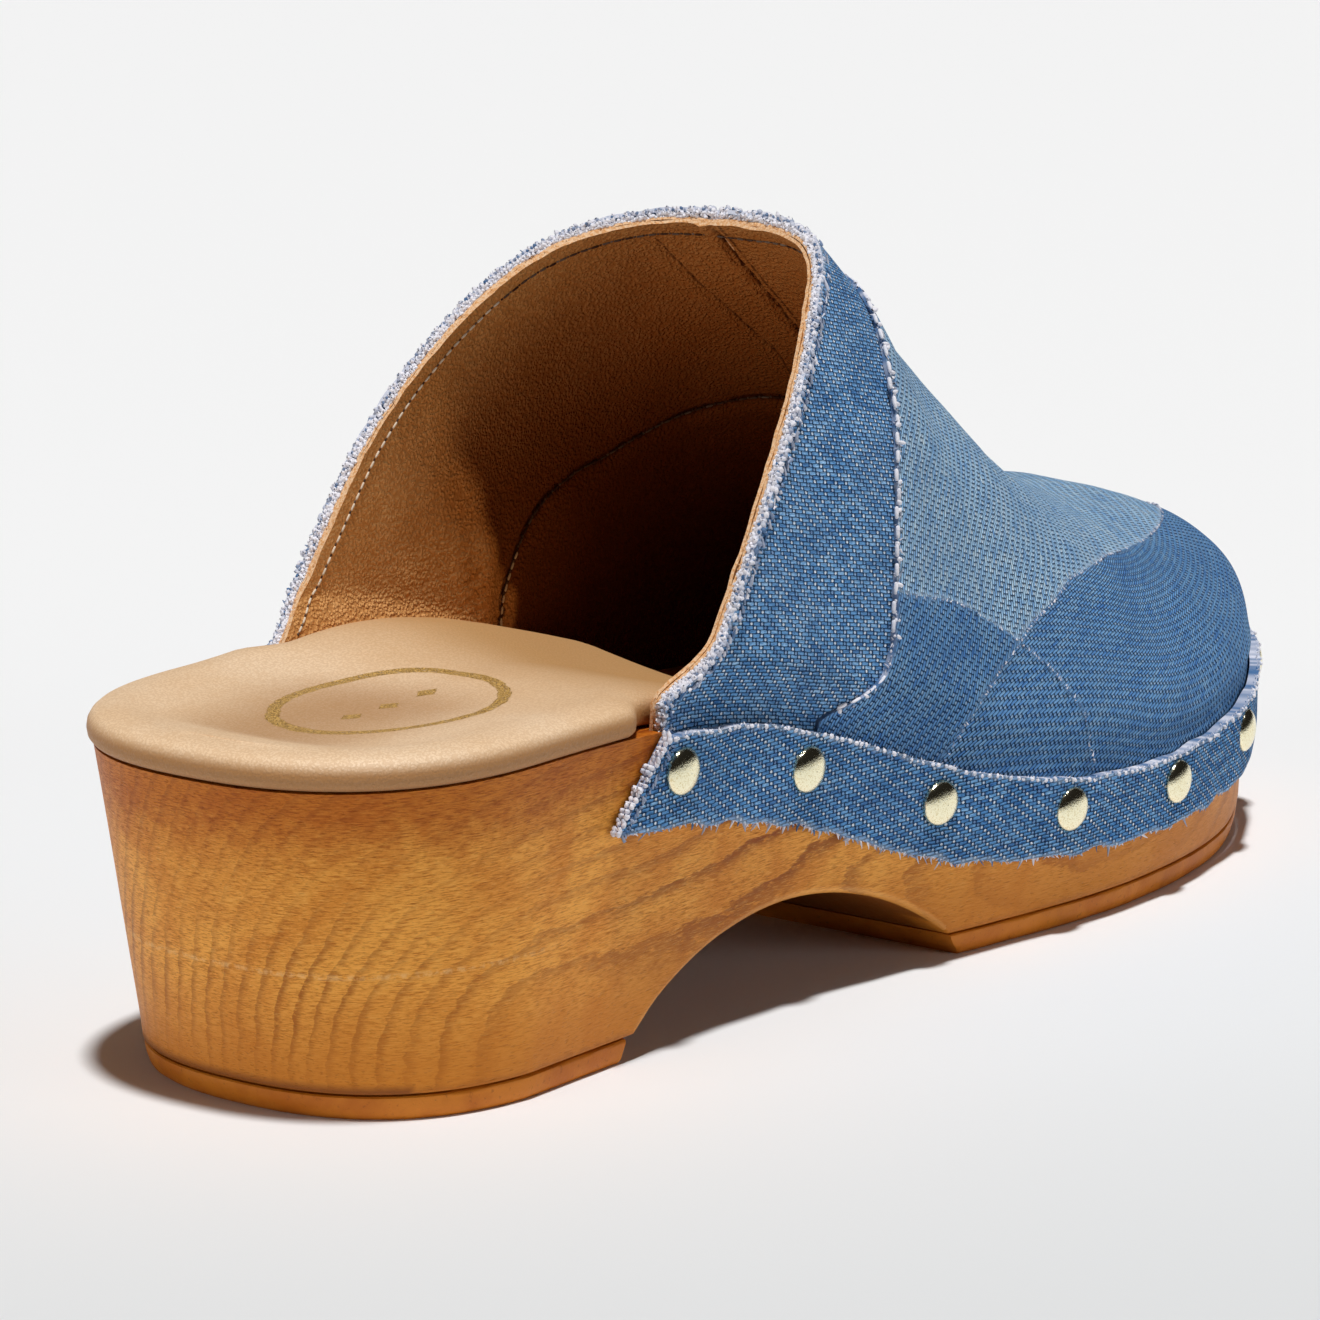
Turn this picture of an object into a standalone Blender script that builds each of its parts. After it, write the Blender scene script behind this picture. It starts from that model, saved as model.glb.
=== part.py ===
"""Heeled clog, right shoe.

A one-piece wooden sole with a block heel and an arched waist carries a closed, patched denim upper.
The upper's lower margin lies in a rebate of the wood, and a nailed denim band covers that joint.
Shoe coordinates are millimetres: x to the lateral side, y forward from the rear edge of the heel's
tread, z up from the floor.
"""
import math

import bmesh
import bpy
from mathutils import Vector

MM = 0.001
GAP = 0.3                   # clearance between pieces that touch

# ---- wooden sole
HEEL_BACK = -10.0           # rearmost point of the sole's top edge
TOE_TIP = 245.0
HEEL_CAP_DEPTH = 35.7       # length of the round back of the top outline
HEEL_CAP_POWER = 2.36
TOE_CAP_START = 167.0
TOE_CAP_POWER = 2.3
SIDE_DRAFT = 0.048          # how much the sides lean in, per millimetre down
BACK_DRAFT = 0.18           # how much the heel's back leans in
ARRIS = 0.5                 # softened lower edge
ARCH_ARRIS = 1.3            # wider chamfer along the arch
ARCH_ARRIS_RISE = 4.0       # the chamfer is full this far up the arch
RUBBER = 4.0                # thickness of the rubber under heel and forefoot, with the gap
HEEL_BREAST = 49.9          # front edge of the heel at the wood's underside
ARCH_FRONT = 122.6          # where the arch comes down to the forefoot
ARCH_RISE = 12.4
SPRING_START = 198.0        # the forefoot lifts from the floor here
SPRING_RADIUS = 130.0
REBATE_START = {1: 54.0, -1: 47.0}    # lateral and medial
REBATE_DEPTH = 2.9
REBATE_WALL = 0.05          # length of the step where the rebate begins
MARGIN_INSET = 1.2          # the upper's margin ends this far above the band's lower edge
SECTIONS = 12               # in each round end, and half as many as along the middle

# ---- rubber under heel and forefoot
HEEL_RUBBER_END = 1.6       # behind the heel's breast
HEEL_RUBBER_SLANT = 1.0
FRONT_RUBBER_START = 0.4    # in front of the arch
FRONT_RUBBER_SLANT = 3.2

# ---- insole
INSOLE_THICK = 5.0
INSOLE_OVERHANG = 0.9
INSOLE_INSET = 3.3          # inside the upper's wall
SEAT_CUP = 2.0              # the heel seat is hollowed
SEAT_LENGTH = 62.0
SEAT_RAMP = {"back": 14.0, "front": 30.0}
NECK_RAMP = 8.0             # length over which its sides step in behind the upper
NECK_LEAD = 1.1             # share of that length which lies before the upper
PAD_RISE = 4.8              # arch support under the medial side, from its rear to its front end
PAD_START = 26.0
PAD_END = 132.0
PAD_RAMP = 62.0             # it rises slowly and falls quickly
PAD_FALL = 30.0
PAD_SPREAD = 1.4            # how far the support reaches towards the middle
ACROSS = (0.6, 0.2)         # points across the insole's top, as shares of its half width

# ---- upper
WALL = 2.6                  # leather lining and denim together
OVERLAP = 0.8               # the vamp's patches lie over the collar panel
OVERLAP_LOW = 1.0           # angle around the last where that step begins above the band
OVERLAP_RAMP = 6.0
SEAM_STEP = 0.5             # length of the step along the shoe
FLARE_START = 3.0           # the wall swells out from this far above the wood's edge
FLARE_HEIGHT = 9.0
TOE_PROFILE_START = 205.0
TOE_PROFILE_POWER = 2.2
SIDE_LINES = 12             # lines from the wood's top edge to the crest, each side
MARGIN_LINES = 3
COLLAR_ROWS = 7
VAMP_ROWS = 24
LINE_CROWDING = 1.6         # lines lie closer together near the wood
TOPLINE_REACH = (42.0, 134.0)

# ---- nailed band
BAND_THICK = 1.8
BAND_BACK = 42.0            # rear end of its lower edge, on the lateral side
BAND_SLANT = 11.0           # its rear edges slope up and forward
MEDIAL_SHIFT = 7.0          # on the medial side the upper and the band reach further back
BAND_SECTIONS = 72

# ---- tacks
TACK_DIAMETER = 7.2
TACK_HEIGHT = 2.4
TACK_SPACING = 30.2
TACK_LEVEL = 0.6            # height of the row within the band
TACK_FIRST = 56.2
TACK_RINGS = 4
TACK_TURNS = 14


def table(names, rows):
    """Named columns from rows of numbers."""
    return {name: [row[k] for row in rows] for k, name in enumerate(names.split())}


# plan of the sole's top edge between its round ends
PLAN = table("y centre half", [
    (25.7, 0.0, 34.7),
    (50.0, 0.1, 34.7),
    (70.0, 0.2, 34.9),
    (90.0, 0.3, 35.7),
    (110.0, 0.3, 38.3),
    (130.0, 0.2, 41.8),
    (150.0, 0.0, 44.7),
    (167.0, -0.4, 45.7),
    (200.0, -1.6, 45.7),
    (245.0, -4.0, 45.7),
])

# side view: the wood's top, and the lower and upper edge of the band
SIDE = table("y wood band_low band_high", [
    (-10.0, 49.3, 36.0, 48.6),
    (45.0, 49.3, 35.6, 48.4),
    (60.0, 48.2, 34.2, 48.2),
    (75.0, 44.8, 31.4, 46.4),
    (90.0, 40.2, 27.4, 42.2),
    (105.0, 35.6, 21.6, 37.0),
    (120.0, 31.4, 16.8, 31.6),
    (135.0, 28.0, 14.2, 27.6),
    (150.0, 25.6, 12.8, 25.0),
    (165.0, 24.4, 12.2, 23.8),
    (180.0, 24.3, 12.2, 23.8),
    (200.0, 25.6, 13.2, 25.2),
    (220.0, 28.4, 16.0, 28.0),
    (245.0, 33.2, 20.6, 32.8),
])

# profile of the rubber's side and of the insole's side, from the bottom up
RUBBER_SIDE = table("height out", [
    (0.0, -1.05),
    (0.7, -0.5),
    (RUBBER - GAP, -0.1),
])
INSOLE_SIDE = table("height out", [
    (0.0, -0.7),
    (1.2, 0.0),
    (3.0, -0.1),
    (4.2, -0.9),
    (4.9, -2.6),
    (INSOLE_THICK, -6.0),
])

# the last above the sole: half width, height of the crest, how far that lies to the medial side,
# and the power of the cross-section, where 2 is an ellipse and more is squarer
LAST = table("y half crest lean power", [
    (40.0, 37.0, 134.0, 0.0, 2.5),
    (70.0, 37.8, 134.0, 0.0, 2.5),
    (85.0, 38.2, 132.0, 0.0, 2.5),
    (100.0, 38.4, 126.0, 0.0, 2.5),
    (112.0, 39.6, 119.6, 0.0, 2.35),
    (121.0, 40.8, 113.6, 0.0, 2.15),
    (130.0, 42.4, 104.2, 0.5, 2.0),
    (140.0, 44.0, 94.6, 1.0, 2.0),
    (155.0, 46.2, 81.0, 2.0, 2.0),
    (170.0, 47.4, 70.0, 3.0, 2.05),
    (185.0, 47.4, 63.0, 4.0, 2.1),
    (200.0, 47.4, 59.2, 5.0, 2.15),
    (220.0, 47.0, 57.0, 5.5, 2.2),
    (245.0, 46.5, 56.5, 6.0, 2.2),
])

# side view of the topline
TOPLINE = table("y lateral medial", [
    (40.0, 48.5, 50.0),
    (50.0, 50.5, 55.0),
    (55.0, 53.5, 60.0),
    (60.0, 56.5, 67.0),
    (65.0, 61.5, 74.0),
    (70.0, 69.0, 80.5),
    (80.0, 83.0, 91.0),
    (90.0, 95.0, 100.0),
    (100.0, 105.0, 107.2),
    (110.0, 111.0, 111.8),
    (122.0, 114.6, 114.6),
    (135.0, 115.5, 115.5),
])

# width of the collar panel, by angle around the last from the wood's edge to the crest
COLLAR = table("angle width", [
    (0.0, 36.0),
    (5.0, 40.0),
    (13.0, 36.5),
    (20.0, 30.5),
    (29.0, 23.5),
    (44.0, 16.5),
    (55.0, 12.5),
    (70.0, 9.5),
    (90.0, 9.0),
])


def smooth(columns, name, at, key="y"):
    """Value of a column at a place, through the rows with a smooth curve."""
    xs = columns[key]
    ys = columns[name]
    if at <= xs[0]:
        return ys[0]
    if at >= xs[-1]:
        return ys[-1]
    k = max(i for i in range(len(xs) - 1) if xs[i] <= at)

    def slope(i):
        if i == 0 or i == len(xs) - 1:
            return 0.0
        return (ys[i + 1] - ys[i - 1]) / (xs[i + 1] - xs[i - 1])

    span = xs[k + 1] - xs[k]
    t = (at - xs[k]) / span
    start = (1 + 2 * t) * (1 - t) ** 2
    end = t * t * (3 - 2 * t)
    rise = t * (1 - t) ** 2 * span * slope(k) - t * t * (1 - t) * span * slope(k + 1)
    return start * ys[k] + end * ys[k + 1] + rise


def ease(t):
    """Smooth step from 0 to 1."""
    t = min(max(t, 0.0), 1.0)
    return t * t * (3 - 2 * t)


def solve(f, low, high):
    """Where a function that goes from below zero to above it crosses zero."""
    for _ in range(40):
        middle = (low + high) / 2
        if f(middle) < 0:
            low = middle
        else:
            high = middle
    return (low + high) / 2


# ---------------------------------------------------------------- sole's form

def side_z(name, y):
    """Height of a named edge of the side view."""
    return smooth(SIDE, name, y)


def underside(y):
    """Height of the wood's underside: heel, arch, forefoot and toe spring."""
    half_span = (ARCH_FRONT - HEEL_BREAST) / 2
    radius = (half_span ** 2 + ARCH_RISE ** 2) / (2 * ARCH_RISE)
    if abs(y - HEEL_BREAST - half_span) < half_span:
        drop = radius - math.sqrt(radius ** 2 - (y - HEEL_BREAST - half_span) ** 2)
        return RUBBER + ARCH_RISE - drop
    return RUBBER + max(0.0, y - SPRING_START) ** 2 / (2 * SPRING_RADIUS)


def half_width(y):
    """Half the width of the sole's top edge."""
    if y < HEEL_BACK + HEEL_CAP_DEPTH:
        t = (HEEL_BACK + HEEL_CAP_DEPTH - y) / HEEL_CAP_DEPTH
        power = HEEL_CAP_POWER
    elif y > TOE_CAP_START:
        t = (y - TOE_CAP_START) / (TOE_TIP - TOE_CAP_START)
        power = TOE_CAP_POWER
    else:
        return smooth(PLAN, "half", y)
    return smooth(PLAN, "half", y) * max(0.0, 1 - min(t, 1.0) ** power) ** (1 / power)


def edge(y, side):
    """A point of the sole's top edge, and the outward direction there; side is 1 lateral, -1 medial."""
    def at(place):
        return Vector((smooth(PLAN, "centre", place) + side * half_width(place), place))

    if y - HEEL_BACK < 1e-6 or TOE_TIP - y < 1e-6:
        return at(y), Vector((0.0, -1.0 if y < 0 else 1.0))
    step = 0.25 * min(1.0, y - HEEL_BACK, TOE_TIP - y)
    along = at(y + step) - at(y - step)
    return at(y), Vector((along.y, -along.x)).normalized() * side


def side_wall(y, side, z, out=0.0):
    """A point of the sole's leaning side at height z, moved outward by out."""
    point, normal = edge(y, side)
    draft = SIDE_DRAFT + (BACK_DRAFT - SIDE_DRAFT) * max(0.0, -normal.y) ** 0.8
    point = point + normal * (out - draft * (side_z("wood", y) - z))
    return Vector((point.x, point.y, z))


def stations(start, end, count):
    """Places along the shoe from start to end: even in the middle, closer in the round ends."""
    places = {start, end}
    for i in range(1, count):
        turn = math.pi / 2 * (i / count) ** 1.3
        back = 1 - math.cos(turn) ** (2 / HEEL_CAP_POWER)
        places.add(HEEL_BACK + HEEL_CAP_DEPTH * back)
        front = math.cos(turn) ** (2 / TOE_CAP_POWER)
        places.add(TOE_CAP_START + (TOE_TIP - TOE_CAP_START) * front)
    middle = 2 * count
    length = TOE_CAP_START - HEEL_BACK - HEEL_CAP_DEPTH
    for i in range(middle + 1):
        places.add(HEEL_BACK + HEEL_CAP_DEPTH + length * i / middle)
    return sorted(y for y in places if start <= y <= end)


# ---------------------------------------------------------------- meshes

def material(name, color, roughness, metallic=0.0):
    made = bpy.data.materials.new(name)
    made.use_nodes = True
    shader = made.node_tree.nodes["Principled BSDF"]
    shader.inputs["Base Color"].default_value = (*color, 1.0)
    shader.inputs["Roughness"].default_value = roughness
    shader.inputs["Metallic"].default_value = metallic
    return made


def add_object(name, mesh, finish, collection, root):
    mesh.materials.append(finish)
    made = bpy.data.objects.new(name, mesh)
    collection.objects.link(made)
    made.parent = root
    return made


def mesh_of(name, grids, caps=()):
    """A mesh from grids of points, each wrapped or open, with faces added for the caps' point lists."""
    shape = bmesh.new()
    known = {}

    def vertex(point):
        key = tuple(round(c, 4) for c in point)
        if key not in known:
            known[key] = shape.verts.new(Vector(point) * MM)
        return known[key]

    def face(points):
        corners = []
        for point in points:
            corner = vertex(point)
            if corner not in corners:
                corners.append(corner)
        if len(corners) > 2 and not shape.faces.get(corners):
            shape.faces.new(corners)

    for grid in grids:
        for row, following in zip(grid, grid[1:]):
            for k in range(len(row) - 1):
                face([row[k], row[k + 1], following[k + 1], following[k]])
    for points in caps:
        face(points)
    bmesh.ops.recalc_face_normals(shape, faces=shape.faces)
    if shape.calc_volume(signed=True) < 0:
        bmesh.ops.reverse_faces(shape, faces=shape.faces)
    mesh = bpy.data.meshes.new(name)
    shape.to_mesh(mesh)
    shape.free()
    mesh.shade_smooth()
    mesh.set_sharp_from_angle(angle=math.radians(40))
    return mesh


def loft(name, sections):
    """A closed solid through closed sections; an end whose two sides meet needs no cap."""
    wrapped = [list(section) + [section[0]] for section in sections]
    ends = (sections[0], sections[-1])
    return mesh_of(name, [wrapped], [e for e in ends if (e[0] - e[-1]).length > 0.01])


def both_sides(points_of_side):
    """A closed section: the lateral side's points upward, then the medial side's downward."""
    return points_of_side(1) + points_of_side(-1)[::-1]


# ---------------------------------------------------------------- pieces

def margin_low(y):
    """Lower edge of the upper's margin, behind the band."""
    return side_z("band_low", y) + MARGIN_INSET


def sole_mesh():
    def section(y):
        low = underside(y)
        shelf = margin_low(y) - GAP
        top = side_z("wood", y)
        arris = ARRIS
        if y < SPRING_START:
            arris += (ARCH_ARRIS - ARRIS) * ease((low - RUBBER) / ARCH_ARRIS_RISE)

        def points(side):
            rebate = REBATE_DEPTH if y >= walls[side] else 0.0
            return [
                side_wall(y, side, low, -arris),
                side_wall(y, side, low + arris),
                side_wall(y, side, shelf),
                side_wall(y, side, shelf, -rebate),
                side_wall(y, side, top, -rebate),
            ]
        return both_sides(points)

    walls = {side: start - GAP for side, start in REBATE_START.items()}
    places = stations(HEEL_BACK, TOE_TIP, SECTIONS)
    places = [y for y in places if min(abs(y - wall) for wall in walls.values()) > 1.0]
    places += [HEEL_BREAST, HEEL_BREAST + ARCH_ARRIS, HEEL_BREAST + 3 * ARCH_ARRIS]
    places += [ARCH_FRONT - 3 * ARCH_ARRIS, ARCH_FRONT]
    for wall in walls.values():
        places += [wall - REBATE_WALL, wall]
    return loft("sole", [section(y) for y in sorted(places)])


def rubber_mesh(name, start, end, cut, slant):
    """A rubber layer under the wood from start to end, whose cut end leans as slant says."""
    def section(y):
        def points(side):
            placed = []
            for height, out in zip(RUBBER_SIDE["height"], RUBBER_SIDE["out"]):
                lift = underside(y) - RUBBER if y > SPRING_START else 0.0
                point = side_wall(y, side, lift + height, out)
                placed.append(slant(point, height / (RUBBER - GAP)))
            return placed
        return both_sides(points)

    places = [y for y in stations(start, end, SECTIONS) if y == cut or abs(y - cut) > RUBBER]
    return loft(name, [section(y) for y in places])


def heel_tread_mesh():
    end = HEEL_BREAST - HEEL_RUBBER_END

    def slant(point, height):
        point.y = min(point.y, end - HEEL_RUBBER_SLANT * (1 - height))
        return point
    return rubber_mesh("heel_tread", HEEL_BACK, end, end, slant)


def forefoot_tread_mesh():
    start = ARCH_FRONT + FRONT_RUBBER_START

    def slant(point, height):
        point.y = max(point.y, start + FRONT_RUBBER_SLANT * (1 - height))
        return point
    return rubber_mesh("forefoot_tread", start, TOE_TIP, start, slant)


def insole_out(y, side):
    """How far the insole's side lies outside the sole's top edge."""
    inside = ease((y - REBATE_START[side]) / NECK_RAMP + NECK_LEAD)
    return INSOLE_OVERHANG - (INSOLE_OVERHANG + INSOLE_INSET) * inside


def insole_mesh():
    def section(y):
        base = side_z("wood", y) + GAP
        sag = SEAT_CUP * ease((y - HEEL_BACK) / SEAT_RAMP["back"])
        sag *= ease((SEAT_LENGTH - y) / SEAT_RAMP["front"])
        rise = PAD_RISE * ease(min((y - PAD_START) / PAD_RAMP, (PAD_END - y) / PAD_FALL))

        def points(side):
            point, normal = edge(y, side)
            raised = rise if side < 0 else 0.0
            placed = []
            for height, out in zip(INSOLE_SIDE["height"], INSOLE_SIDE["out"]):
                at = point + normal * (insole_out(y, side) + out)
                lift = height + raised * height / INSOLE_THICK
                placed.append(Vector((at.x, at.y, base + lift)))
            last = placed[-1]
            middle = smooth(PLAN, "centre", y)
            for share in ACROSS:
                top = base + INSOLE_THICK - sag * (1 - share ** 2)
                top += raised * min(PAD_SPREAD * share, 1.0)
                placed.append(Vector((middle + (last.x - middle) * share, last.y, top)))
            return placed
        return both_sides(points)

    return loft("insole", [section(y) for y in stations(HEEL_BACK, TOE_TIP, SECTIONS)])


def last_point(y, angle):
    """The upper's outer form: angle 0 at the lateral edge of the wood, 90 on the crest, 180 medial."""
    side = 1 if angle < 90 else -1
    turn = math.radians(angle if angle < 90 else 180 - angle)
    power = smooth(LAST, "power", y)
    along = math.cos(turn) ** (2 / power) if angle != 90 else 0.0
    up = math.sin(turn) ** (2 / power) if turn > 0 else 0.0
    base = side_z("wood", y)
    t = max(0.0, (y - TOE_PROFILE_START) / (TOE_TIP - TOE_PROFILE_START))
    front = max(0.0, 1 - min(t, 1.0) ** TOE_PROFILE_POWER) ** (1 / TOE_PROFILE_POWER)
    height = (smooth(LAST, "crest", y) - base) * front * up
    wood = half_width(y)
    full = wood * smooth(LAST, "half", y) / smooth(PLAN, "half", y)
    x = side * along * (wood + (full - wood) * ease((height - FLARE_START) / FLARE_HEIGHT))
    x += smooth(PLAN, "centre", y) * (1 - up) - smooth(LAST, "lean", y) * up * front
    return Vector((x, y, base + height))


def last_normal(y, angle):
    """Outward direction of the last, by small steps forward and around; at the tip it is forward."""
    if TOE_TIP - y < 0.01:
        return Vector((0.0, 1.0, 0.0))
    if angle in (0.0, 180.0):
        flat = edge(y, 1 if angle == 0.0 else -1)[1]
        return Vector((flat.x, flat.y, 0.0))
    step = 0.2 * min(1.0, TOE_TIP - y)
    forward = last_point(y + step, angle) - last_point(y - step, angle)
    around = last_point(y, angle + 0.4) - last_point(y, angle - 0.4)
    return forward.cross(around).normalized()


def topline(angle):
    """Where the topline crosses a line of the last."""
    name, side = ("lateral", 1) if angle <= 90 else ("medial", -1)

    def above(y):
        return smooth(TOPLINE, name, y) - last_point(y, angle).z
    return max(REBATE_START[side], solve(above, *TOPLINE_REACH))


def upper_lines():
    """The last's lines from the lateral margin over the crest to the medial margin."""
    lines = []
    for k in range(MARGIN_LINES):
        lines.append(("margin", 1, k / MARGIN_LINES))
    rise = [90 * (j / SIDE_LINES) ** LINE_CROWDING for j in range(SIDE_LINES + 1)]
    for angle in rise + [180 - a for a in rise[-2::-1]]:
        lines.append(("last", 1 if angle < 90 else -1, angle))
    for k in reversed(range(MARGIN_LINES)):
        lines.append(("margin", -1, k / MARGIN_LINES))
    return lines


def upper_surface(kind, side, at, y, overlap):
    """A point of the upper's outer face and the matching point of its lining."""
    if kind == "margin":
        low = margin_low(y)
        z = low + (side_z("wood", y) - low) * at
        return side_wall(y, side, z), side_wall(y, side, z, -WALL)
    point = last_point(y, at)
    normal = last_normal(y, at)
    raised = overlap * ease((min(at, 180 - at) - OVERLAP_LOW) / OVERLAP_RAMP)
    return point + normal * raised, point - normal * WALL


def upper_mesh():
    outer = []
    inner = []
    for kind, side, at in upper_lines():
        angle = at if kind == "last" else (0.0 if side > 0 else 180.0)
        start = topline(angle)
        seam = start + smooth(COLLAR, "width", min(angle, 180 - angle), key="angle")
        rows = [(start + (seam - start) * i / (COLLAR_ROWS - 1), 0.0) for i in range(COLLAR_ROWS)]
        for i in range(VAMP_ROWS + 1):
            share = math.sin(math.pi / 2 * i / VAMP_ROWS)
            rows.append((seam + SEAM_STEP + (TOE_TIP - seam - SEAM_STEP) * share, OVERLAP))
        pairs = [upper_surface(kind, side, at, y, raised) for y, raised in rows]
        outer.append([pair[0] for pair in pairs])
        inner.append([pair[1] for pair in pairs])
    mouth = [[a[0] for a in outer], [a[0] for a in inner]]
    lateral_hem = [outer[0], inner[0]]
    medial_hem = [outer[-1], inner[-1]]
    return mesh_of("upper", [outer, inner, mouth, lateral_hem, medial_hem])


def band_route(start):
    """The sole's edge from the lateral side round the toe to the medial side, with its lengths."""
    route = [(y, 1) for y in stations(start, TOE_TIP, 40)]
    route += [(y, -1) for y in stations(start - MEDIAL_SHIFT, TOE_TIP, 40)[-2::-1]]
    lengths = [0.0]
    for before, after in zip(route, route[1:]):
        lengths.append(lengths[-1] + (edge(*after)[0] - edge(*before)[0]).length)
    return route, lengths


def along_route(route, lengths, at):
    """The place and side at a length along the route."""
    k = max(i for i in range(len(lengths) - 1) if lengths[i] <= at + 1e-9)
    share = (at - lengths[k]) / (lengths[k + 1] - lengths[k])
    (y0, side0), (y1, side1) = route[k], route[k + 1]
    return y0 + (y1 - y0) * share, side0 if y0 < TOE_TIP else side1


def band_mesh():
    route, lengths = band_route(BAND_BACK)
    sections = []
    for i in range(BAND_SECTIONS + 1):
        share = i / BAND_SECTIONS
        low_y, low_side = along_route(route, lengths, lengths[-1] * share)
        high_at = BAND_SLANT + (lengths[-1] - 2 * BAND_SLANT) * share
        high_y, high_side = along_route(route, lengths, high_at)
        low = side_z("band_low", low_y)
        high = side_z("band_high", high_y)
        sections.append([
            side_wall(low_y, low_side, low, GAP),
            side_wall(low_y, low_side, low, GAP + BAND_THICK),
            side_wall(high_y, high_side, high, GAP + BAND_THICK),
            side_wall(high_y, high_side, high, GAP),
        ])
    return loft("band", sections)


def tack_mesh():
    """Profile of a domed tack head, turned about Z by a Screw modifier."""
    radius = TACK_DIAMETER / 2
    profile = bmesh.new()
    arc = [math.pi / 2 * k / TACK_RINGS for k in range(TACK_RINGS + 1)]
    points = [(radius * math.sin(a), 0.0, TACK_HEIGHT * math.cos(a)) for a in arc] + [(0.0, 0.0, 0.0)]
    verts = [profile.verts.new(Vector(point) * MM) for point in points]
    for first, second in zip(verts, verts[1:]):
        profile.edges.new((first, second))
    mesh = bpy.data.meshes.new("tack")
    profile.to_mesh(mesh)
    profile.free()
    return mesh


def add_tacks(finish, collection, root):
    route, lengths = band_route(TACK_FIRST)
    count = int(lengths[-1] / TACK_SPACING) + 1
    mesh = tack_mesh()
    mesh.materials.append(finish)
    for i in range(count):
        y, side = along_route(route, lengths, TACK_SPACING * i)
        low = side_z("band_low", y)
        z = low + (side_z("band_high", y) - low) * TACK_LEVEL
        normal = edge(y, side)[1]
        tack = bpy.data.objects.new(f"tack_{i + 1:02d}", mesh)
        collection.objects.link(tack)
        tack.parent = root
        tack.location = side_wall(y, side, z, 2 * GAP + BAND_THICK) * MM
        outward = Vector((normal.x, normal.y, -SIDE_DRAFT))
        tack.rotation_euler = outward.to_track_quat("Z", "Y").to_euler()
        turn = tack.modifiers.new("turn", "SCREW")
        turn.steps = TACK_TURNS
        turn.render_steps = TACK_TURNS
        turn.use_merge_vertices = True
        turn.merge_threshold = 0.00001


def centre_on_floor(root, collection):
    """Moves the shoe so that the origin is under the middle of its box, on the floor."""
    bpy.context.view_layer.update()
    graph = bpy.context.evaluated_depsgraph_get()
    points = []
    for piece in collection.objects:
        if piece.type == "MESH":
            ready = piece.evaluated_get(graph)
            points += [ready.matrix_world @ v.co for v in ready.data.vertices]
    for axis in (0, 1):
        low = min(p[axis] for p in points)
        high = max(p[axis] for p in points)
        root.location[axis] -= (low + high) / 2
    bpy.context.view_layer.update()


def build():
    for old in list(bpy.data.objects):
        bpy.data.objects.remove(old, do_unlink=True)
    collection = bpy.data.collections.new("heeled_clog")
    bpy.context.scene.collection.children.link(collection)
    root = bpy.data.objects.new("heeled_clog", None)
    collection.objects.link(root)

    wood = material("wood", (0.42, 0.20, 0.07), 0.45)
    rubber = material("rubber", (0.48, 0.24, 0.08), 0.6)
    leather = material("insole_leather", (0.52, 0.32, 0.17), 0.55)
    denim = material("denim", (0.16, 0.25, 0.38), 0.9)
    band_denim = material("band_denim", (0.12, 0.2, 0.33), 0.9)
    brass = material("brass", (0.83, 0.66, 0.32), 0.25, 1.0)

    add_object("sole", sole_mesh(), wood, collection, root)
    add_object("heel_tread", heel_tread_mesh(), rubber, collection, root)
    add_object("forefoot_tread", forefoot_tread_mesh(), rubber, collection, root)
    add_object("insole", insole_mesh(), leather, collection, root)
    add_object("upper", upper_mesh(), denim, collection, root)
    add_object("band", band_mesh(), band_denim, collection, root)
    add_tacks(brass, collection, root)
    centre_on_floor(root, collection)


build()
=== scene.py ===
# %% [markdown]
# # A heeled clog in wood, leather and denim
# The shoe is made in the order in which a clog maker builds it: wooden sole, rubber, insole, lined
# upper, nailed band, tacks. Its solids come packed as a fixed frame. This script dresses them: it
# draws each piece again as a finer surface of the same form, and gives it a finish made of nodes.

# %% Frame, units and tools
import math

import bmesh
import bpy
import numpy as np
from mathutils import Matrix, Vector


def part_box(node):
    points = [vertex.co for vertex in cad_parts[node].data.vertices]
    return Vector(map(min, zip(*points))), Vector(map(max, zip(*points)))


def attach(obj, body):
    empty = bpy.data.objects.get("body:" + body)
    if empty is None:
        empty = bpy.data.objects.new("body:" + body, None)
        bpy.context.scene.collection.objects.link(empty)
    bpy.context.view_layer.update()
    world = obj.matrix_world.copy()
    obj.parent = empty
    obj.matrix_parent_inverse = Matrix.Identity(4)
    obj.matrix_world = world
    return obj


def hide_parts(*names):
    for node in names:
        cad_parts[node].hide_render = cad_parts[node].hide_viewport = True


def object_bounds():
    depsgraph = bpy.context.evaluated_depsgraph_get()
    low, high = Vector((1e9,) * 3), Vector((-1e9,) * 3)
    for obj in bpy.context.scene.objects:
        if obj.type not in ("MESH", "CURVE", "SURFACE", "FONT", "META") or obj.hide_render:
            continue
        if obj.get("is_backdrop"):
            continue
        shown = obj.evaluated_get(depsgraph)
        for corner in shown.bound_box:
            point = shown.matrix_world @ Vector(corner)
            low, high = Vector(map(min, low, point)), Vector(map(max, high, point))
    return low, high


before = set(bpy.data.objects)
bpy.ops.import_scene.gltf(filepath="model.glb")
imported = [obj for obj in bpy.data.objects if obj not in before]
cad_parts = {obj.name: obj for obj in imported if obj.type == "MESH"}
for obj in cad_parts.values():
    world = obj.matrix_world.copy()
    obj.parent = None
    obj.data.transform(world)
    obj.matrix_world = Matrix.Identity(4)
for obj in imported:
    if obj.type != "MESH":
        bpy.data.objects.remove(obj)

CAD_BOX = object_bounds()
MM = 0.001
GAP = 0.3                   # between pieces that lie on each other
heel_low, heel_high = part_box("heel_tread")
sole_low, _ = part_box("sole")
HEEL_BACK = -10.0           # rearmost point of the sole; y = 0 is the rear edge of the heel's tread
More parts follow.
